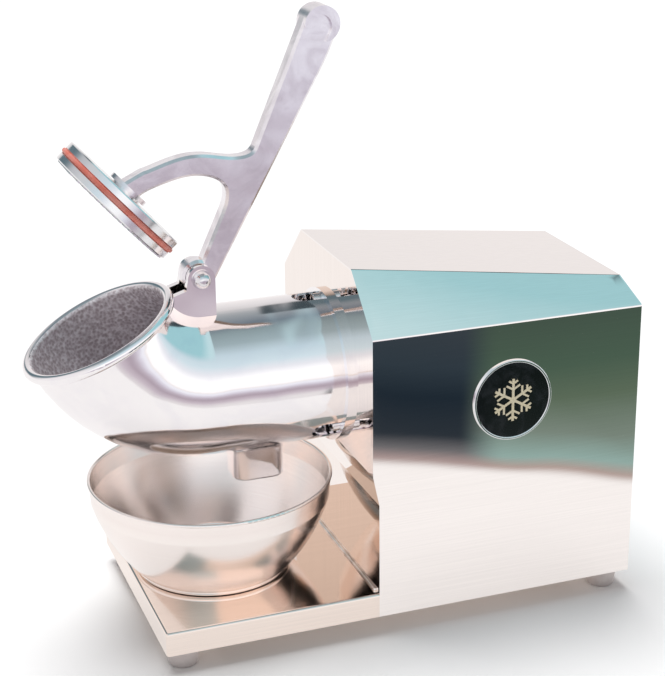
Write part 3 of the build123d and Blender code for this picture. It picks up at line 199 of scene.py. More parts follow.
# %% Three kinds of ray
soft_strength = 0.30
soft_level = add(sky, "ShaderNodeBackground", links={"Color": (0.98, 0.98, 1.0, 1), "Strength": soft_strength})
mirror_level = add(sky, "ShaderNodeBackground", links={"Color": paint})
white_level = add(sky, "ShaderNodeBackground", links={"Color": (1, 1, 1, 1)})
pick_mirror = add(sky, "ShaderNodeMixShader", links={0: kind.outputs["Is Glossy Ray"], 1: soft_level.outputs[0],
                                                     2: mirror_level.outputs[0]})
pick_camera = add(sky, "ShaderNodeMixShader", links={0: kind.outputs["Is Camera Ray"], 1: pick_mirror.outputs[0],
                                                     2: white_level.outputs[0]})
add(sky, "ShaderNodeOutputWorld", links={"Surface": pick_camera.outputs[0]})
print("soft level", soft_strength)

# %% [markdown]
# ## One soft lamp overhead
# The shadow under the machine is short and soft and falls a little towards the viewer. A very wide lamp, high
# up and slightly behind, gives that. A lamp with a wide angle is used rather than a square one, because its
# level is the same all over the floor. Mirror-like rays don't see it, as the painted room stands for it there.

# %% Lamp
bpy.ops.object.light_add(type="SUN", location=(0.0, 0.6, 2.0))
lamp = bpy.context.object
lamp.name = "overhead_lamp"
lamp.data.energy = 2.6
lamp.data.angle = math.radians(40)
lamp.rotation_euler = (math.radians(-17), math.radians(-3), 0)
lamp.visible_glossy = False
print("lamp level", lamp.data.energy)

# %% [markdown]
# ## Helpers for the finishes
# A mask that several finishes use is kept once, as a node group with named inputs and outputs. These four
# helpers start a group, start a material, place a group in a material, and hand a finish to the pieces that
# wear it.

# %% Helpers: finishes
def start_group(name, inputs, outputs):
    """A shader node group with named sockets."""
    group = bpy.data.node_groups.new(name, "ShaderNodeTree")
    for label, kind, value in inputs:
        socket = group.interface.new_socket(name=label, in_out="INPUT", socket_type=kind)
        if value is not None:
            socket.default_value = value
    for label, kind in outputs:
        group.interface.new_socket(name=label, in_out="OUTPUT", socket_type=kind)
    return group, group.nodes.new("NodeGroupInput"), group.nodes.new("NodeGroupOutput")


def start_material(name, colour, roughness, metallic):
    """A material with one shader and the object's own coordinates."""
    material = bpy.data.materials.new(name)
    material.use_nodes = True
    material.diffuse_color = (*colour, 1)
    tree = material.node_tree
    shader = tree.nodes["Principled BSDF"]
    shader.inputs["Base Color"].default_value = (*colour, 1)
    shader.inputs["Roughness"].default_value = roughness
    shader.inputs["Metallic"].default_value = metallic
    place = tree.nodes.new("ShaderNodeTexCoord").outputs["Object"]
    return material, tree, shader, place


def use_group(tree, group, links):
    """Places a group in a material with its own values."""
    return add(tree, "ShaderNodeGroup", node_tree=group, links=links)


def wear(material, names):
    """Gives a finish to the pieces named."""
    for name in names.split():
        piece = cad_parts[name]
        if not piece.material_slots:
            piece.data.materials.append(material)
        for slot in piece.material_slots:
            slot.material = material
    print(material.name, "on", len(names.split()), "pieces")


FLOAT = "NodeSocketFloat"
VECTOR = "NodeSocketVector"
print("finish helpers ready")

# %% [markdown]
# ## Fine brush lines
# Sheet from the mill, and sheet that has been wiped for years, has faint straight lines along its length. They
# could be an image, but a noise that is pressed flat across the lines and pulled long along them gives the same
# without a file. The stretch is an input, so the same group makes long sheet lines and short machining marks.

# %% Group: brush lines
brush_lines, ins, outs = start_group("brush_lines", [("Place", VECTOR, None), ("Stretch", VECTOR, (8, 900, 900))],
                                     [("Lines", FLOAT)])
pulled = add(brush_lines, "ShaderNodeVectorMath", operation="MULTIPLY",
             links={0: ins.outputs["Place"], 1: ins.outputs["Stretch"]})
line_noise = add(brush_lines, "ShaderNodeTexNoise",
                 links={"Vector": pulled.outputs[0], "Scale": 1.0, "Detail": 3.0, "Roughness": 0.65})
brush_lines.links.new(line_noise.outputs["Fac"], outs.inputs["Lines"])
print("group", brush_lines.name)

# %% [markdown]
# ## Marks of hands and cloths
# No polished sheet in use is even. A cloth leaves broad dull arcs, and water leaves small pale spots. Two soft
# noises of different size, the larger one distorted, give the arcs, and a cell pattern cut off near its centres
# gives the spots.

# %% Group: hand marks
hand_marks, ins, outs = start_group("hand_marks", [("Place", VECTOR, None), ("Size", FLOAT, 9.0)],
                                    [("Marks", FLOAT), ("Spots", FLOAT)])
broad = add(hand_marks, "ShaderNodeTexNoise", links={"Vector": ins.outputs["Place"], "Scale": ins.outputs["Size"],
                                                     "Detail": 4.0, "Roughness": 0.55, "Distortion": 1.4})
broad_cut = soft_step(hand_marks, broad.outputs["Fac"], 0.42, 0.68)
cells = add(hand_marks, "ShaderNodeTexVoronoi", links={"Vector": ins.outputs["Place"], "Scale": 160.0,
                                                       "Randomness": 1.0})
spot_cut = soft_step(hand_marks, cells.outputs["Distance"], 0.16, 0.08)
rare = add(hand_marks, "ShaderNodeTexNoise", links={"Vector": ins.outputs["Place"], "Scale": 31.0, "Detail": 1.0})
rare_cut = soft_step(hand_marks, rare.outputs["Fac"], 0.56, 0.66)
spots = maths(hand_marks, "MULTIPLY", spot_cut, rare_cut)
hand_marks.links.new(broad_cut, outs.inputs["Marks"])
hand_marks.links.new(spots, outs.inputs["Spots"])
print("group", hand_marks.name)

# %% [markdown]
# ## Lines left by turning
# A bowl is spun, and a disc or a shaft is turned on a lathe, so their marks are rings round one axis. The rings
# need only the distance from that axis. It is the length of the cross product of the place and the axis, which
# works for an axis in any direction, and a one-dimensional noise along it gives rings of uneven strength.

# %% Group: turned rings
turned_rings, ins, outs = start_group(
    "turned_rings", [("Place", VECTOR, None), ("Centre", VECTOR, (0, 0, 0)), ("Axis", VECTOR, (0, 0, 1)),
                     ("Pitch", FLOAT, 1500.0)], [("Rings", FLOAT), ("Radius", FLOAT)])
from_centre = add(turned_rings, "ShaderNodeVectorMath", operation="SUBTRACT",
                  links={0: ins.outputs["Place"], 1: ins.outputs["Centre"]})
across = add(turned_rings, "ShaderNodeVectorMath", operation="CROSS_PRODUCT",
             links={0: from_centre.outputs[0], 1: ins.outputs["Axis"]})
radius = add(turned_rings, "ShaderNodeVectorMath", operation="LENGTH", links={0: across.outputs[0]})
steps = maths(turned_rings, "MULTIPLY", radius.outputs["Value"], ins.outputs["Pitch"])
ring_noise = add(turned_rings, "ShaderNodeTexNoise", noise_dimensions="1D",
                 links={"W": steps, "Scale": 1.0, "Detail": 2.0, "Roughness": 0.7})
turned_rings.links.new(ring_noise.outputs["Fac"], outs.inputs["Rings"])
turned_rings.links.new(radius.outputs["Value"], outs.inputs["Radius"])
print("group", turned_rings.name)

# %% [markdown]
# ## The skin of a casting
# A sand casting is grainy where no wheel has reached, and gently wavy where it was polished by hand. One group
# gives both: a grain for the raw places and a slow wave for the polished ones.

# %% Group: cast skin
cast_skin, ins, outs = start_group("cast_skin", [("Place", VECTOR, None), ("Grain", FLOAT, 900.0),
                                                 ("Wave", FLOAT, 28.0)], [("Grit", FLOAT), ("Waves", FLOAT)])
grit_noise = add(cast_skin, "ShaderNodeTexNoise", links={"Vector": ins.outputs["Place"],
                                                         "Scale": ins.outputs["Grain"], "Detail": 4.0,
                                                         "Roughness": 0.7})
pit_cells = add(cast_skin, "ShaderNodeTexVoronoi", feature="SMOOTH_F1",
                links={"Vector": ins.outputs["Place"], "Scale": 420.0})
grit = maths(cast_skin, "MULTIPLY", grit_noise.outputs["Fac"], pit_cells.outputs["Distance"])
wave_noise = add(cast_skin, "ShaderNodeTexNoise", links={"Vector": ins.outputs["Place"],
                                                         "Scale": ins.outputs["Wave"], "Detail": 1.0})
cast_skin.links.new(grit, outs.inputs["Grit"])
cast_skin.links.new(wave_noise.outputs["Fac"], outs.inputs["Waves"])
print("group", cast_skin.name)

# %% [markdown]
# ## Darker near the table
# Pieces are made darker close to the floor. It only needs the height above the floor, broken up by a soft noise so
# that its edge is not a ruler line.

# %% Group: darker near the floor
bottom_darkening, ins, outs = start_group("bottom_darkening", [("Place", VECTOR, None), ("Top", FLOAT, 0.012)],
                                   [("Darker", FLOAT)])
heights = add(bottom_darkening, "ShaderNodeSeparateXYZ", links={0: ins.outputs["Place"]})
uneven = add(bottom_darkening, "ShaderNodeTexNoise", links={"Vector": ins.outputs["Place"], "Scale": 90.0,
                                                     "Detail": 3.0})
wavy = maths(bottom_darkening, "MULTIPLY_ADD", uneven.outputs["Fac"], 0.008, heights.outputs["Z"])
fade = soft_step(bottom_darkening, wavy, ins.outputs["Top"], 0.002)
bottom_darkening.links.new(fade, outs.inputs["Darker"])
print("group", bottom_darkening.name)

# %% [markdown]
# ## Polished sheet
# The housing, the front panel, the rear panel and the tray are one kind of sheet: stainless with a mirror
# polish, faintly brushed along its length. Real sheet is never flat to a hair, and its reflections swim. That
# is the large, slow bump. The small one is the brush. The cloth marks only touch the roughness, because on a
# mirror a dull patch shows as blur and not as colour.

# %% Finish: polished sheet
def sheet_finish(name, colour, roughness, stretch, brush_depth, sway):
    """Mirror-polished sheet with brush lines, cloth marks and slow waves."""
    material, tree, shader, place = start_material(name, colour, roughness, 1.0)
    lines = use_group(tree, brush_lines, {"Place": place, "Stretch": stretch})
    marks = use_group(tree, hand_marks, {"Place": place, "Size": 7.0})
    dull = maths(tree, "MULTIPLY_ADD", marks.outputs["Marks"], 0.02, roughness)
    dull = maths(tree, "MULTIPLY_ADD", marks.outputs["Spots"], 0.05, dull)
    dull = maths(tree, "MULTIPLY_ADD", lines.outputs["Lines"], 0.02, dull)
    tree.links.new(dull, shader.inputs["Roughness"])
    tint = mixed(tree, lines.outputs["Lines"], [c * 0.93 for c in colour], [min(1, c * 1.06) for c in colour])
    tree.links.new(tint, shader.inputs["Base Color"])
    slow = add(tree, "ShaderNodeTexNoise", links={"Vector": place, "Scale": 5.5, "Detail": 1.0})
    slow_bump = add(tree, "ShaderNodeBump", links={"Height": slow.outputs["Fac"], "Strength": 1.0,
                                                   "Distance": sway})
    fine_bump = add(tree, "ShaderNodeBump", links={"Height": lines.outputs["Lines"], "Strength": 0.35,
                                                   "Distance": brush_depth, "Normal": slow_bump.outputs[0]})
    tree.links.new(fine_bump.outputs[0], shader.inputs["Normal"])
    return material


housing_sheet = sheet_finish("polished_sheet", (0.945, 0.905, 0.885), 0.022, (7, 900, 900), 0.000005, 0.0009)
wear(housing_sheet, "housing_cover rear_panel")
panel_sheet = sheet_finish("mirror_sheet", (0.93, 0.86, 0.82), 0.008, (900, 900, 9), 0.000002, 0.0001)
wear(panel_sheet, "front_panel")
# The tray's browner colour than the housing's is a painted reflection of the bowl and the tube's dark underside.
tray_sheet = sheet_finish("tray_sheet", (0.90, 0.80, 0.735), 0.045, (9, 900, 900), 0.000004, 0.0002)
wear(tray_sheet, "base_pan")

# %% [markdown]
# ## The bead along the front panel's foot
# Where the front panel meets the tray, the real machine shows a thin bright line from side to side: a run of
# solder, wiped smooth, that keeps water out. It could be a bump, but a real bead catches light on its own round
# face. A thin cylinder is laid along the joint and cut into short lengths. Its rings are swollen and thinned a
# little in turn, as a hand-wiped run is, and its ends are bevelled round.

# %% Foot bead
bead_radius = 0.0011
bead_length = 0.186
bead_x = 0.0095
bead_z = 0.0347
bpy.ops.object.select_all(action="DESELECT")
bpy.ops.mesh.primitive_cylinder_add(vertices=20, radius=bead_radius, depth=bead_length,
                                    location=(bead_x, 0, bead_z), rotation=(math.pi / 2, 0, 0))
bead = bpy.context.object
bead.name = "foot_bead"
bpy.ops.object.transform_apply(location=True, rotation=True, scale=True)
bpy.ops.object.mode_set(mode="EDIT")
cuts = 24
for step in range(1, cuts):
    bpy.ops.mesh.select_all(action="SELECT")
    bpy.ops.mesh.bisect(plane_co=(0, bead_length * (step / cuts - 0.5), 0), plane_no=(0, 1, 0))
bpy.ops.object.mode_set(mode="OBJECT")
for point in bead.data.vertices:
    swell = 1 + 0.10 * math.sin(point.co.y * 190) + 0.06 * math.sin(point.co.y * 71 + 1.3)
    point.co.x = bead_x + (point.co.x - bead_x) * swell
    point.co.z = bead_z + (point.co.z - bead_z) * swell
rounding = bead.modifiers.new("round_ends", "BEVEL")
rounding.width = bead_radius * 0.7
rounding.segments = 3
rounding.limit_method = "ANGLE"
bpy.ops.object.modifier_apply(modifier=rounding.name)
bpy.ops.object.shade_smooth_by_angle(angle=math.radians(40))
solder, tree, shader, place = start_material("wiped_solder", (0.97, 0.94, 0.92), 0.35, 1.0)
smear = use_group(tree, hand_marks, {"Place": place, "Size": 90.0})
tone = mixed(tree, smear.outputs["Marks"], (1.0, 0.97, 0.95), (0.90, 0.86, 0.84))
tree.links.new(tone, shader.inputs["Base Color"])
rough = maths(tree, "MULTIPLY_ADD", smear.outputs["Marks"], 0.15, 0.30)
tree.links.new(rough, shader.inputs["Roughness"])
bead.data.materials.append(solder)
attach(bead, "frame")
print("bead faces:", len(bead.data.polygons))

# %% [markdown]
# ## Polished casting
# The feed tube and the lever are cast aluminium, ground and buffed by hand outside. Inside, the tube is as it
# came out of the sand. The line between the two is the bore itself, so the mask is built from the shape: the
# bore of the elbow is a ring round the hinge, the bore of the drum a cylinder, and a point counts as inside
# when it is nearer to their middle line than the wall is.

# %% Finish: feed tube
hinge_x = -0.0962
hinge_z = 0.2725
elbow_radius = 0.0845
shaft_z = 0.188
bore_limit = 0.0552
bore_edge = 0.0003
chamber_reach = 0.0700
material, tree, shader, place = start_material("buffed_casting", (0.87, 0.85, 0.875), 0.11, 1.0)
tube_skin = use_group(tree, cast_skin, {"Place": place, "Grain": 520.0, "Wave": 26.0})
tube_marks = use_group(tree, hand_marks, {"Place": place, "Size": 22.0})
about_hinge = add(tree, "ShaderNodeVectorMath", operation="SUBTRACT",
                  links={0: place, 1: (hinge_x, 0, hinge_z)})
apart = add(tree, "ShaderNodeSeparateXYZ", links={0: about_hinge.outputs[0]})
flat = add(tree, "ShaderNodeCombineXYZ", links={"X": apart.outputs["X"], "Z": apart.outputs["Z"]})
swing = add(tree, "ShaderNodeVectorMath", operation="LENGTH", links={0: flat.outputs[0]})
off_arc = maths(tree, "SUBTRACT", swing.outputs["Value"], elbow_radius)
off_middle = add(tree, "ShaderNodeCombineXYZ", links={"X": off_arc, "Y": apart.outputs["Y"]})
from_arc = add(tree, "ShaderNodeVectorMath", operation="LENGTH", links={0: off_middle.outputs[0]})
about_shaft = use_group(tree, turned_rings, {"Place": place, "Centre": (0, 0, shaft_z), "Axis": (1, 0, 0),
                                             "Pitch": 1400.0})
before_hinge = maths(tree, "LESS_THAN", apart.outputs["X"], 0.0)
near = between(tree, before_hinge, about_shaft.outputs["Radius"], from_arc.outputs["Value"])
bore = soft_step(tree, near, bore_limit + bore_edge, bore_limit - bore_edge)
in_chamber = maths(tree, "LESS_THAN", apart.outputs["X"], chamber_reach)
bore = maths(tree, "MULTIPLY", bore, in_chamber)
grains = add(tree, "ShaderNodeMapRange", links={"Value": tube_skin.outputs["Grit"], "From Min": 0.10,
                                                "From Max": 0.36})
raw_rough = maths(tree, "MULTIPLY_ADD", tube_skin.outputs["Grit"], 0.25, 0.40)
buffed_rough = maths(tree, "MULTIPLY_ADD", tube_marks.outputs["Marks"], 0.03, 0.075)
rough = between(tree, bore, buffed_rough, raw_rough)
tree.links.new(rough, shader.inputs["Roughness"])
raw_colour = mixed(tree, grains.outputs["Result"], (0.56, 0.49, 0.52), (1.0, 0.97, 1.0))
buffed_colour = mixed(tree, tube_marks.outputs["Marks"], (0.925, 0.905, 0.915), (0.89, 0.87, 0.895))
colour = mixed(tree, bore, buffed_colour, raw_colour)
tree.links.new(colour, shader.inputs["Base Color"])
grit_depth = maths(tree, "MULTIPLY", bore, tube_skin.outputs["Grit"])
grit_bump = add(tree, "ShaderNodeBump", links={"Height": grit_depth, "Strength": 0.8, "Distance": 0.0006})
wave_bump = add(tree, "ShaderNodeBump", links={"Height": tube_skin.outputs["Waves"], "Strength": 1.0,
                                               "Distance": 0.0007, "Normal": grit_bump.outputs[0]})
tree.links.new(wave_bump.outputs[0], shader.inputs["Normal"])
bare_metal = maths(tree, "MULTIPLY_ADD", bore, -0.5, 1.0)
tree.links.new(bare_metal, shader.inputs["Metallic"])
wear(material, "feed_tube")

# %% [markdown]
# The lever is the same metal, but it was only flattened on a belt and buffed lightly, so it is duller and shows
# short marks along its length. The wall of the grip's shallow pocket gets painted shade: a dark ring found by
# distance from the middle of the grip, kept to the grip's outer half.

# %% Finish: lever
grip_middle = (0.0236, 0.0, 0.4550)
# A ring of painted shade on the pocket's wall lies between these distances from the grip's middle.
shade_ring_start, shade_ring_whole = 0.0062, 0.0088
shade_ring_end, shade_ring_fade = 0.0100, 0.0094
material, tree, shader, place = start_material("belted_casting", (0.80, 0.775, 0.83), 0.24, 1.0)
lever_skin = use_group(tree, cast_skin, {"Place": place, "Grain": 1100.0, "Wave": 38.0})
lever_marks = use_group(tree, hand_marks, {"Place": place, "Size": 30.0})
belt = use_group(tree, brush_lines, {"Place": place, "Stretch": (420, 60, 420)})
lever_rough = maths(tree, "MULTIPLY_ADD", belt.outputs["Lines"], 0.14, 0.15)
lever_rough = maths(tree, "MULTIPLY_ADD", lever_marks.outputs["Marks"], 0.025, lever_rough)
tree.links.new(lever_rough, shader.inputs["Roughness"])
lever_colour = mixed(tree, lever_marks.outputs["Marks"], (0.92, 0.905, 0.935), (0.80, 0.77, 0.81))
from_grip = add(tree, "ShaderNodeVectorMath", operation="SUBTRACT", links={0: place, 1: grip_middle})
grip_parts = add(tree, "ShaderNodeSeparateXYZ", links={0: from_grip.outputs[0]})
grip_flat = add(tree, "ShaderNodeCombineXYZ", links={"X": grip_parts.outputs["X"], "Z": grip_parts.outputs["Z"]})
grip_reach = add(tree, "ShaderNodeVectorMath", operation="LENGTH", links={0: grip_flat.outputs[0]})
past_start = soft_step(tree, grip_reach.outputs["Value"], shade_ring_start, shade_ring_whole)
before_end = soft_step(tree, grip_reach.outputs["Value"], shade_ring_end, shade_ring_fade)
outer_half = maths(tree, "MULTIPLY_ADD", grip_parts.outputs["X"], 0.9, grip_parts.outputs["Z"])
outer_half = soft_step(tree, outer_half, -0.001, 0.006)
pocket_painted_shade = maths(tree, "MULTIPLY", past_start, before_end)
pocket_painted_shade = maths(tree, "MULTIPLY", pocket_painted_shade, outer_half)
# The pocket's wall is darkened here with painted shade.
lever_colour = mixed(tree, pocket_painted_shade, lever_colour, (0.16, 0.10, 0.12))
tree.links.new(lever_colour, shader.inputs["Base Color"])
lever_bump = add(tree, "ShaderNodeBump", links={"Height": lever_skin.outputs["Waves"], "Strength": 1.0,
                                                "Distance": 0.0006})
belt_bump = add(tree, "ShaderNodeBump", links={"Height": belt.outputs["Lines"], "Strength": 0.3,
                                               "Distance": 0.00003, "Normal": lever_bump.outputs[0]})
tree.links.new(belt_bump.outputs[0], shader.inputs["Normal"])
wear(material, "lever")

# %% [markdown]
# ## Turned and spun metal
# The pusher's plates, the bowl, the blade disc, the shaft and the bearings all went round while they were made.
# One recipe serves them, with the axis, the ring pitch and the polish as its values. The bowl is satin, and its
# warm colour is a painted reflection of the tray below and the room's pale floor; the plates are brighter and
# colder.

# %% Finish: turned metal
def turned_finish(name, colour, roughness, centre, axis, pitch, depth, spread=0.12, marks_size=16.0):
    """Metal with ring marks round an axis."""
    material, tree, shader, place = start_material(name, colour, roughness, 1.0)
    rings = use_group(tree, turned_rings, {"Place": place, "Centre": centre, "Axis": axis, "Pitch": pitch})
    marks = use_group(tree, hand_marks, {"Place": place, "Size": marks_size})
    rough = maths(tree, "MULTIPLY_ADD", rings.outputs["Rings"], spread, roughness - spread / 2)
    rough = maths(tree, "MULTIPLY_ADD", marks.outputs["Marks"], 0.03, rough)
    tree.links.new(rough, shader.inputs["Roughness"])
    tint = mixed(tree, rings.outputs["Rings"], [c * 0.94 for c in colour], [min(1, c * 1.05) for c in colour])
    tree.links.new(tint, shader.inputs["Base Color"])
    bump = add(tree, "ShaderNodeBump", links={"Height": rings.outputs["Rings"], "Strength": 0.5,
                                              "Distance": depth})
    tree.links.new(bump.outputs[0], shader.inputs["Normal"])
    return material


pusher_tilt = math.radians(132.0)
pusher_middle = (hinge_x + elbow_radius * math.cos(pusher_tilt), 0, hinge_z + elbow_radius * math.sin(pusher_tilt))
pusher_axis = (-math.sin(pusher_tilt), 0, math.cos(pusher_tilt))
wear(turned_finish("turned_plate", (0.84, 0.85, 0.87), 0.17, pusher_middle, pusher_axis, 1700.0, 0.00003),
     "pusher_rear_plate pusher_front_plate")
bowl_middle = (-0.092, 0, 0)
# The bowl's warm colour is a painted reflection of the tray below and the room's pale floor.
wear(turned_finish("spun_bowl", (0.985, 0.905, 0.875), 0.22, bowl_middle, (0, 0, 1), 1300.0, 0.000004,
                   spread=0.06, marks_size=9.0), "bowl")
wear(turned_finish("machined_disc", (0.74, 0.745, 0.765), 0.22, (0, 0, shaft_z), (1, 0, 0), 1500.0, 0.00005),
     "blade_disc")
wear(turned_finish("ground_steel", (0.66, 0.66, 0.68), 0.22, (0, 0, shaft_z), (1, 0, 0), 2600.0, 0.00002),
     "drive_shaft disc_key bearing_outer_rings bearing_inner_rings bearing_balls")

# %% [markdown]
# ## Bright small hardware
# Screws, nuts, washers and the dome nut are plated and bright. At this size the eye sees only their shape and a
# few hairline scratches, so their finish is a smooth metal with fine crossed lines and a hint of dust.

# %% Finish: hardware
material, tree, shader, place = start_material("plated_hardware", (0.80, 0.79, 0.81), 0.16, 1.0)
hairlines = use_group(tree, brush_lines, {"Place": place, "Stretch": (300, 2600, 900)})
dusty = use_group(tree, hand_marks, {"Place": place, "Size": 120.0})
rough = maths(tree, "MULTIPLY_ADD", hairlines.outputs["Lines"], 0.14, 0.09)
tree.links.new(rough, shader.inputs["Roughness"])
tone = mixed(tree, dusty.outputs["Marks"], (0.82, 0.81, 0.83), (0.68, 0.67, 0.69))
tree.links.new(tone, shader.inputs["Base Color"])
bump = add(tree, "ShaderNodeBump", links={"Height": hairlines.outputs["Lines"], "Strength": 0.3,
                                          "Distance": 0.00003})
tree.links.new(bump.outputs[0], shader.inputs["Normal"])
wear(material, "foot_screws foot_nuts rear_panel_screws flange_screws flange_washers flange_bushes hinge_bolt "
               "hinge_dome_nut hinge_washers pusher_bolt pusher_clamp_screws blade_screws disc_washer disc_cap_nut "
               "motor_plate_bolts motor_plate_nuts motor_face_screws motor_through_bolts capacitor_clamp_screws "
               "inlet_screws")

# %% [markdown]
# ## The cutting edges
# The blades were hardened and ground across their length, so their marks run straight and short.

# %% Finish: blades
material, tree, shader, place = start_material("ground_blade", (0.80, 0.80, 0.82), 0.18, 1.0)
grind = use_group(tree, brush_lines, {"Place": place, "Stretch": (2200, 900, 120)})
rough = maths(tree, "MULTIPLY_ADD", grind.outputs["Lines"], 0.2, 0.08)
tree.links.new(rough, shader.inputs["Roughness"])
tone = mixed(tree, grind.outputs["Lines"], (0.70, 0.70, 0.72), (0.88, 0.88, 0.90))
tree.links.new(tone, shader.inputs["Base Color"])
bump = add(tree, "ShaderNodeBump", links={"Height": grind.outputs["Lines"], "Strength": 0.4,
                                          "Distance": 0.00004})
tree.links.new(bump.outputs[0], shader.inputs["Normal"])
wear(material, "shaving_blades")

# %% [markdown]
# ## Rubber and moulded plastic
# Both are dull, slightly grainy and a little uneven in colour, and both pick up dust. The grain is a small noise,
# the dust a pale tint where a broad noise is high, and what is near the table is made darker.

# %% Finish: soft and moulded pieces
def moulded_finish(name, colour, roughness, grain, depth, dust, dust_colour, low_darkening=0.0):
    """Rubber or plastic with grain, dust and darkening near the floor."""
    material, tree, shader, place = start_material(name, colour, roughness, 0.0)
    skin = use_group(tree, cast_skin, {"Place": place, "Grain": grain, "Wave": 60.0})
    marks = use_group(tree, hand_marks, {"Place": place, "Size": 45.0})
    amount = maths(tree, "MULTIPLY", marks.outputs["Marks"], dust)
    tone = mixed(tree, amount, colour, dust_colour)
    # What is near the floor is made darker here.
    floor_band = use_group(tree, bottom_darkening, {"Place": place, "Top": 0.011})
    darkening_share = maths(tree, "MULTIPLY", floor_band.outputs["Darker"], low_darkening)
    tone = mixed(tree, darkening_share, tone, (0.20, 0.17, 0.16))
    tree.links.new(tone, shader.inputs["Base Color"])
    rough = maths(tree, "MULTIPLY_ADD", skin.outputs["Waves"], 0.16, roughness - 0.08)
    tree.links.new(rough, shader.inputs["Roughness"])
    bump = add(tree, "ShaderNodeBump", links={"Height": skin.outputs["Grit"], "Strength": 0.6,
                                              "Distance": depth})
    tree.links.new(bump.outputs[0], shader.inputs["Normal"])
    return material


wear(moulded_finish("red_rubber", (0.76, 0.20, 0.145), 0.48, 1400.0, 0.0001, 0.35, (0.90, 0.55, 0.50)),
     "pusher_seal")
wear(moulded_finish("pale_rubber", (0.80, 0.73, 0.71), 0.55, 1500.0, 0.00012, 0.3, (0.90, 0.85, 0.83), 0.35),
     "foot_front_right foot_front_left foot_rear_right foot_rear_left")
wear(moulded_finish("black_rubber", (0.035, 0.035, 0.038), 0.5, 1500.0, 0.0001, 0.2, (0.12, 0.12, 0.12)),
     "lip_seal")
wear(moulded_finish("black_plastic", (0.040, 0.040, 0.044), 0.42, 2200.0, 0.00008, 0.25, (0.10, 0.10, 0.105)),
     "cooling_fan run_capacitor switch_frame power_inlet")
wear(moulded_finish("red_plastic", (0.58, 0.045, 0.035), 0.24, 2600.0, 0.00003, 0.15, (0.66, 0.20, 0.18)),
     "switch_rocker")

# %% [markdown]
# ## Inside the housing
# Nobody sees these pieces unless the cover is off, but a part that is taken from the shelf may be opened. The
# motor's case is painted, its bells are raw castings, its core is a stack of thin sheets, and its windings are
# varnished copper wire laid in rings.

# %% Finish: cast bells and zinc-plated brackets
def plain_metal(name, colour, roughness, grain, depth, blotch):
    """Bare or plated metal with grain and a blotchy tone."""
    material, tree, shader, place = start_material(name, colour, roughness, 1.0)
    skin = use_group(tree, cast_skin, {"Place": place, "Grain": grain, "Wave": 50.0})
    marks = use_group(tree, hand_marks, {"Place": place, "Size": 60.0})
    tone = mixed(tree, marks.outputs["Marks"], colour, [c * blotch for c in colour])
    tree.links.new(tone, shader.inputs["Base Color"])
    rough = maths(tree, "MULTIPLY_ADD", skin.outputs["Waves"], 0.2, roughness - 0.1)
    tree.links.new(rough, shader.inputs["Roughness"])
    bump = add(tree, "ShaderNodeBump", links={"Height": skin.outputs["Grit"], "Strength": 0.8,
                                              "Distance": depth})
    tree.links.new(bump.outputs[0], shader.inputs["Normal"])
    return material


wear(plain_metal("cast_bell", (0.66, 0.66, 0.67), 0.45, 900.0, 0.0005, 0.85), "motor_front_bell motor_rear_bell")
wear(plain_metal("zinc_bracket", (0.60, 0.61, 0.63), 0.32, 1500.0, 0.0001, 1.15), "motor_plate capacitor_clamp")

# %% Finish: laminations, windings and brass pins
material, tree, shader, place = start_material("stacked_sheets", (0.30, 0.30, 0.31), 0.5, 1.0)
stack = use_group(tree, brush_lines, {"Place": place, "Stretch": (2000, 5, 5)})
tone = mixed(tree, stack.outputs["Lines"], (0.16, 0.16, 0.17), (0.44, 0.44, 0.45))
tree.links.new(tone, shader.inputs["Base Color"])
bump = add(tree, "ShaderNodeBump", links={"Height": stack.outputs["Lines"], "Strength": 0.8,
                                          "Distance": 0.0002})
tree.links.new(bump.outputs[0], shader.inputs["Normal"])
wear(material, "stator_core rotor_core")
wear(turned_finish("varnished_wire", (0.72, 0.36, 0.20), 0.34, (0, 0, shaft_z), (1, 0, 0), 1100.0, 0.0006),
     "stator_windings")
wear(plain_metal("brass_pins", (0.80, 0.64, 0.34), 0.22, 2600.0, 0.00004, 0.88), "inlet_pins")

# %% Finish: painted motor case
case_paint = (0.045, 0.055, 0.065)
material, tree, shader, place = start_material("motor_paint", case_paint, 0.38, 0.0)
orange_peel = use_group(tree, cast_skin, {"Place": place, "Grain": 700.0, "Wave": 240.0})
paint_marks = use_group(tree, hand_marks, {"Place": place, "Size": 35.0})
tone = mixed(tree, paint_marks.outputs["Marks"], case_paint, (0.085, 0.095, 0.105))
tree.links.new(tone, shader.inputs["Base Color"])
bump = add(tree, "ShaderNodeBump", links={"Height": orange_peel.outputs["Waves"], "Strength": 0.5,
                                          "Distance": 0.0003})
tree.links.new(bump.outputs[0], shader.inputs["Normal"])
shader.inputs["Coat Weight"].default_value = 0.4
wear(material, "motor_case")

# %% [markdown]
# ## The badge
# A black enamel disc in a bright rim, with a raised pale-gold snowflake that says what the machine makes and
# nothing else. The enamel is nearly a mirror, so it is a dark, smooth base with no metal and no coat.

# %% Finish: badge
enamel_black = (0.004, 0.006, 0.008)
material, tree, shader, place = start_material("badge_enamel", enamel_black, 0.22, 0.0)
enamel = use_group(tree, hand_marks, {"Place": place, "Size": 55.0})
tone = mixed(tree, enamel.outputs["Marks"], enamel_black, (0.010, 0.014, 0.018))
tree.links.new(tone, shader.inputs["Base Color"])
rough = maths(tree, "MULTIPLY_ADD", enamel.outputs["Marks"], 0.1, 0.16)
tree.links.new(rough, shader.inputs["Roughness"])
wear(material, "badge_plate")
badge_middle = (0.1175, -0.1, 0.1782)
wear(turned_finish("badge_rim_metal", (0.80, 0.83, 0.85), 0.12, badge_middle, (0, 1, 0), 3000.0, 0.00002),
     "badge_rim")
wear(moulded_finish("pale_gold", (0.88, 0.80, 0.56), 0.30, 2600.0, 0.00003, 0.3, (0.92, 0.88, 0.74)),
     "badge_emblem")

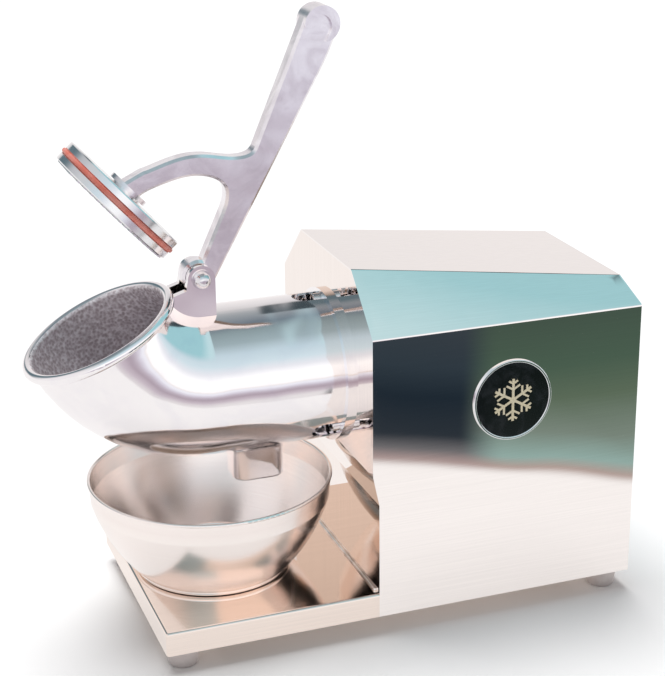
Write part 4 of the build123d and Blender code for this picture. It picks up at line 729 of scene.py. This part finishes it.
# %% [markdown]
# ## The floor
# The floor is a plain pale sheet of paper. The camera sees it as white with a soft shadow. In mirrors, the paper
# ends a little in front of the machine. Beyond it a dim corner of the room begins on the right, dark blue-green
# and then greener, and a lavender-grey floor lies farther out. All are painted on the same flat floor, by its own
# coordinates, and only for mirror-like rays. They give the housing's side its dark upper half and the lever its
# lavender face. In mirrors the paper near the machine is mostly an even glow, so that the machine's own shadow
# shows only faintly in its polished faces.

# %% Floor
bpy.ops.mesh.primitive_plane_add(size=16.0, location=(0, 0, 0))
floor = bpy.context.object
floor.name = "paper_floor"
paper, tree, shader, place = start_material("pale_paper", (0.9, 0.9, 0.9), 0.9, 0.0)
tree.nodes.remove(shader)
spot = add(tree, "ShaderNodeSeparateXYZ", links={0: place})
ripple = add(tree, "ShaderNodeTexNoise", links={"Vector": place, "Scale": 5.0, "Detail": 2.0})
edge_line = maths(tree, "MULTIPLY_ADD", spot.outputs["X"], 0.58, -0.480)
edge_cap = maths(tree, "MINIMUM", edge_line, -0.27)
beyond = maths(tree, "SUBTRACT", edge_cap, spot.outputs["Y"])
beyond = maths(tree, "MULTIPLY_ADD", ripple.outputs["Fac"], 0.05, beyond)
paper_tone = (0.90, 0.90, 0.90)
front_stops = [(0.0, paper_tone), (0.03, (0.43, 0.33, 0.32)), (0.06, (0.16, 0.16, 0.17)),
               (0.10, (0.025, 0.034, 0.045)), (0.22, (0.014, 0.024, 0.036)), (0.32, (0.03, 0.045, 0.06)),
               (0.6, (0.05, 0.06, 0.07))]
rear_stops = [(0.0, paper_tone), (0.03, (0.46, 0.36, 0.33)), (0.06, (0.30, 0.45, 0.42)), (0.13, (0.20, 0.26, 0.22)),
              (0.24, (0.11, 0.16, 0.11)), (0.33, (0.07, 0.12, 0.085)), (0.6, (0.05, 0.07, 0.06))]
front_paint = colour_stops(tree, beyond, front_stops)
rear_paint = colour_stops(tree, beyond, rear_stops)
slant = maths(tree, "MULTIPLY_ADD", spot.outputs["Y"], 0.457, spot.outputs["X"])
to_rear = soft_step(tree, slant, 0.025, 0.075)
dim = mixed(tree, to_rear, front_paint, rear_paint)
far_out = add(tree, "ShaderNodeMapRange", links={"Value": spot.outputs["Y"], "From Min": -0.5, "From Max": -3.0})
far_stops = [(0.0, (0.86, 0.83, 0.83)), (0.07, (0.62, 0.54, 0.60)), (0.17, (0.46, 0.38, 0.44)),
             (0.30, (0.56, 0.49, 0.56)), (0.50, (0.72, 0.68, 0.77)), (1.0, (0.93, 0.93, 1.0))]
far_tone = colour_stops(tree, far_out.outputs["Result"], far_stops)
run_left = maths(tree, "MULTIPLY_ADD", spot.outputs["Y"], 0.372, spot.outputs["X"])
right_part = soft_step(tree, run_left, -0.050, -0.028)
near_part = soft_step(tree, spot.outputs["Y"], -0.98, -0.76)
dim_share = maths(tree, "MULTIPLY", right_part, near_part)
dim = mixed(tree, dim_share, far_tone, dim)
past_edge = soft_step(tree, beyond, 0.0, 0.03)
kind = add(tree, "ShaderNodeLightPath")
mirror_share = maths(tree, "MULTIPLY", past_edge, kind.outputs["Is Glossy Ray"])
white_for_camera = mixed(tree, kind.outputs["Is Camera Ray"], (0.88, 0.86, 0.855), (1, 1, 1))
lit_paper = add(tree, "ShaderNodeBsdfDiffuse", links={"Color": white_for_camera})
mirror_paper = add(tree, "ShaderNodeEmission", links={"Color": (1.0, 0.98, 0.97, 1)})
paper_glow = 0.70
half_mirror = maths(tree, "MULTIPLY", kind.outputs["Is Glossy Ray"], paper_glow)
lit_paper = add(tree, "ShaderNodeMixShader", links={0: half_mirror, 1: lit_paper.outputs[0],
                                                    2: mirror_paper.outputs[0]})
seen_room = add(tree, "ShaderNodeEmission", links={"Color": dim})
surface = add(tree, "ShaderNodeMixShader", links={0: mirror_share, 1: lit_paper.outputs[0],
                                                  2: seen_room.outputs[0]})
tree.links.new(surface.outputs[0], tree.nodes["Material Output"].inputs["Surface"])
floor.data.materials.append(paper)
print("floor of", floor.dimensions.x, "m")

# %% [markdown]
# ## Looks of the picture
# The plain view transform keeps colours as they are written.

# %% Finish
bpy.context.scene.view_settings.view_transform = "Standard"
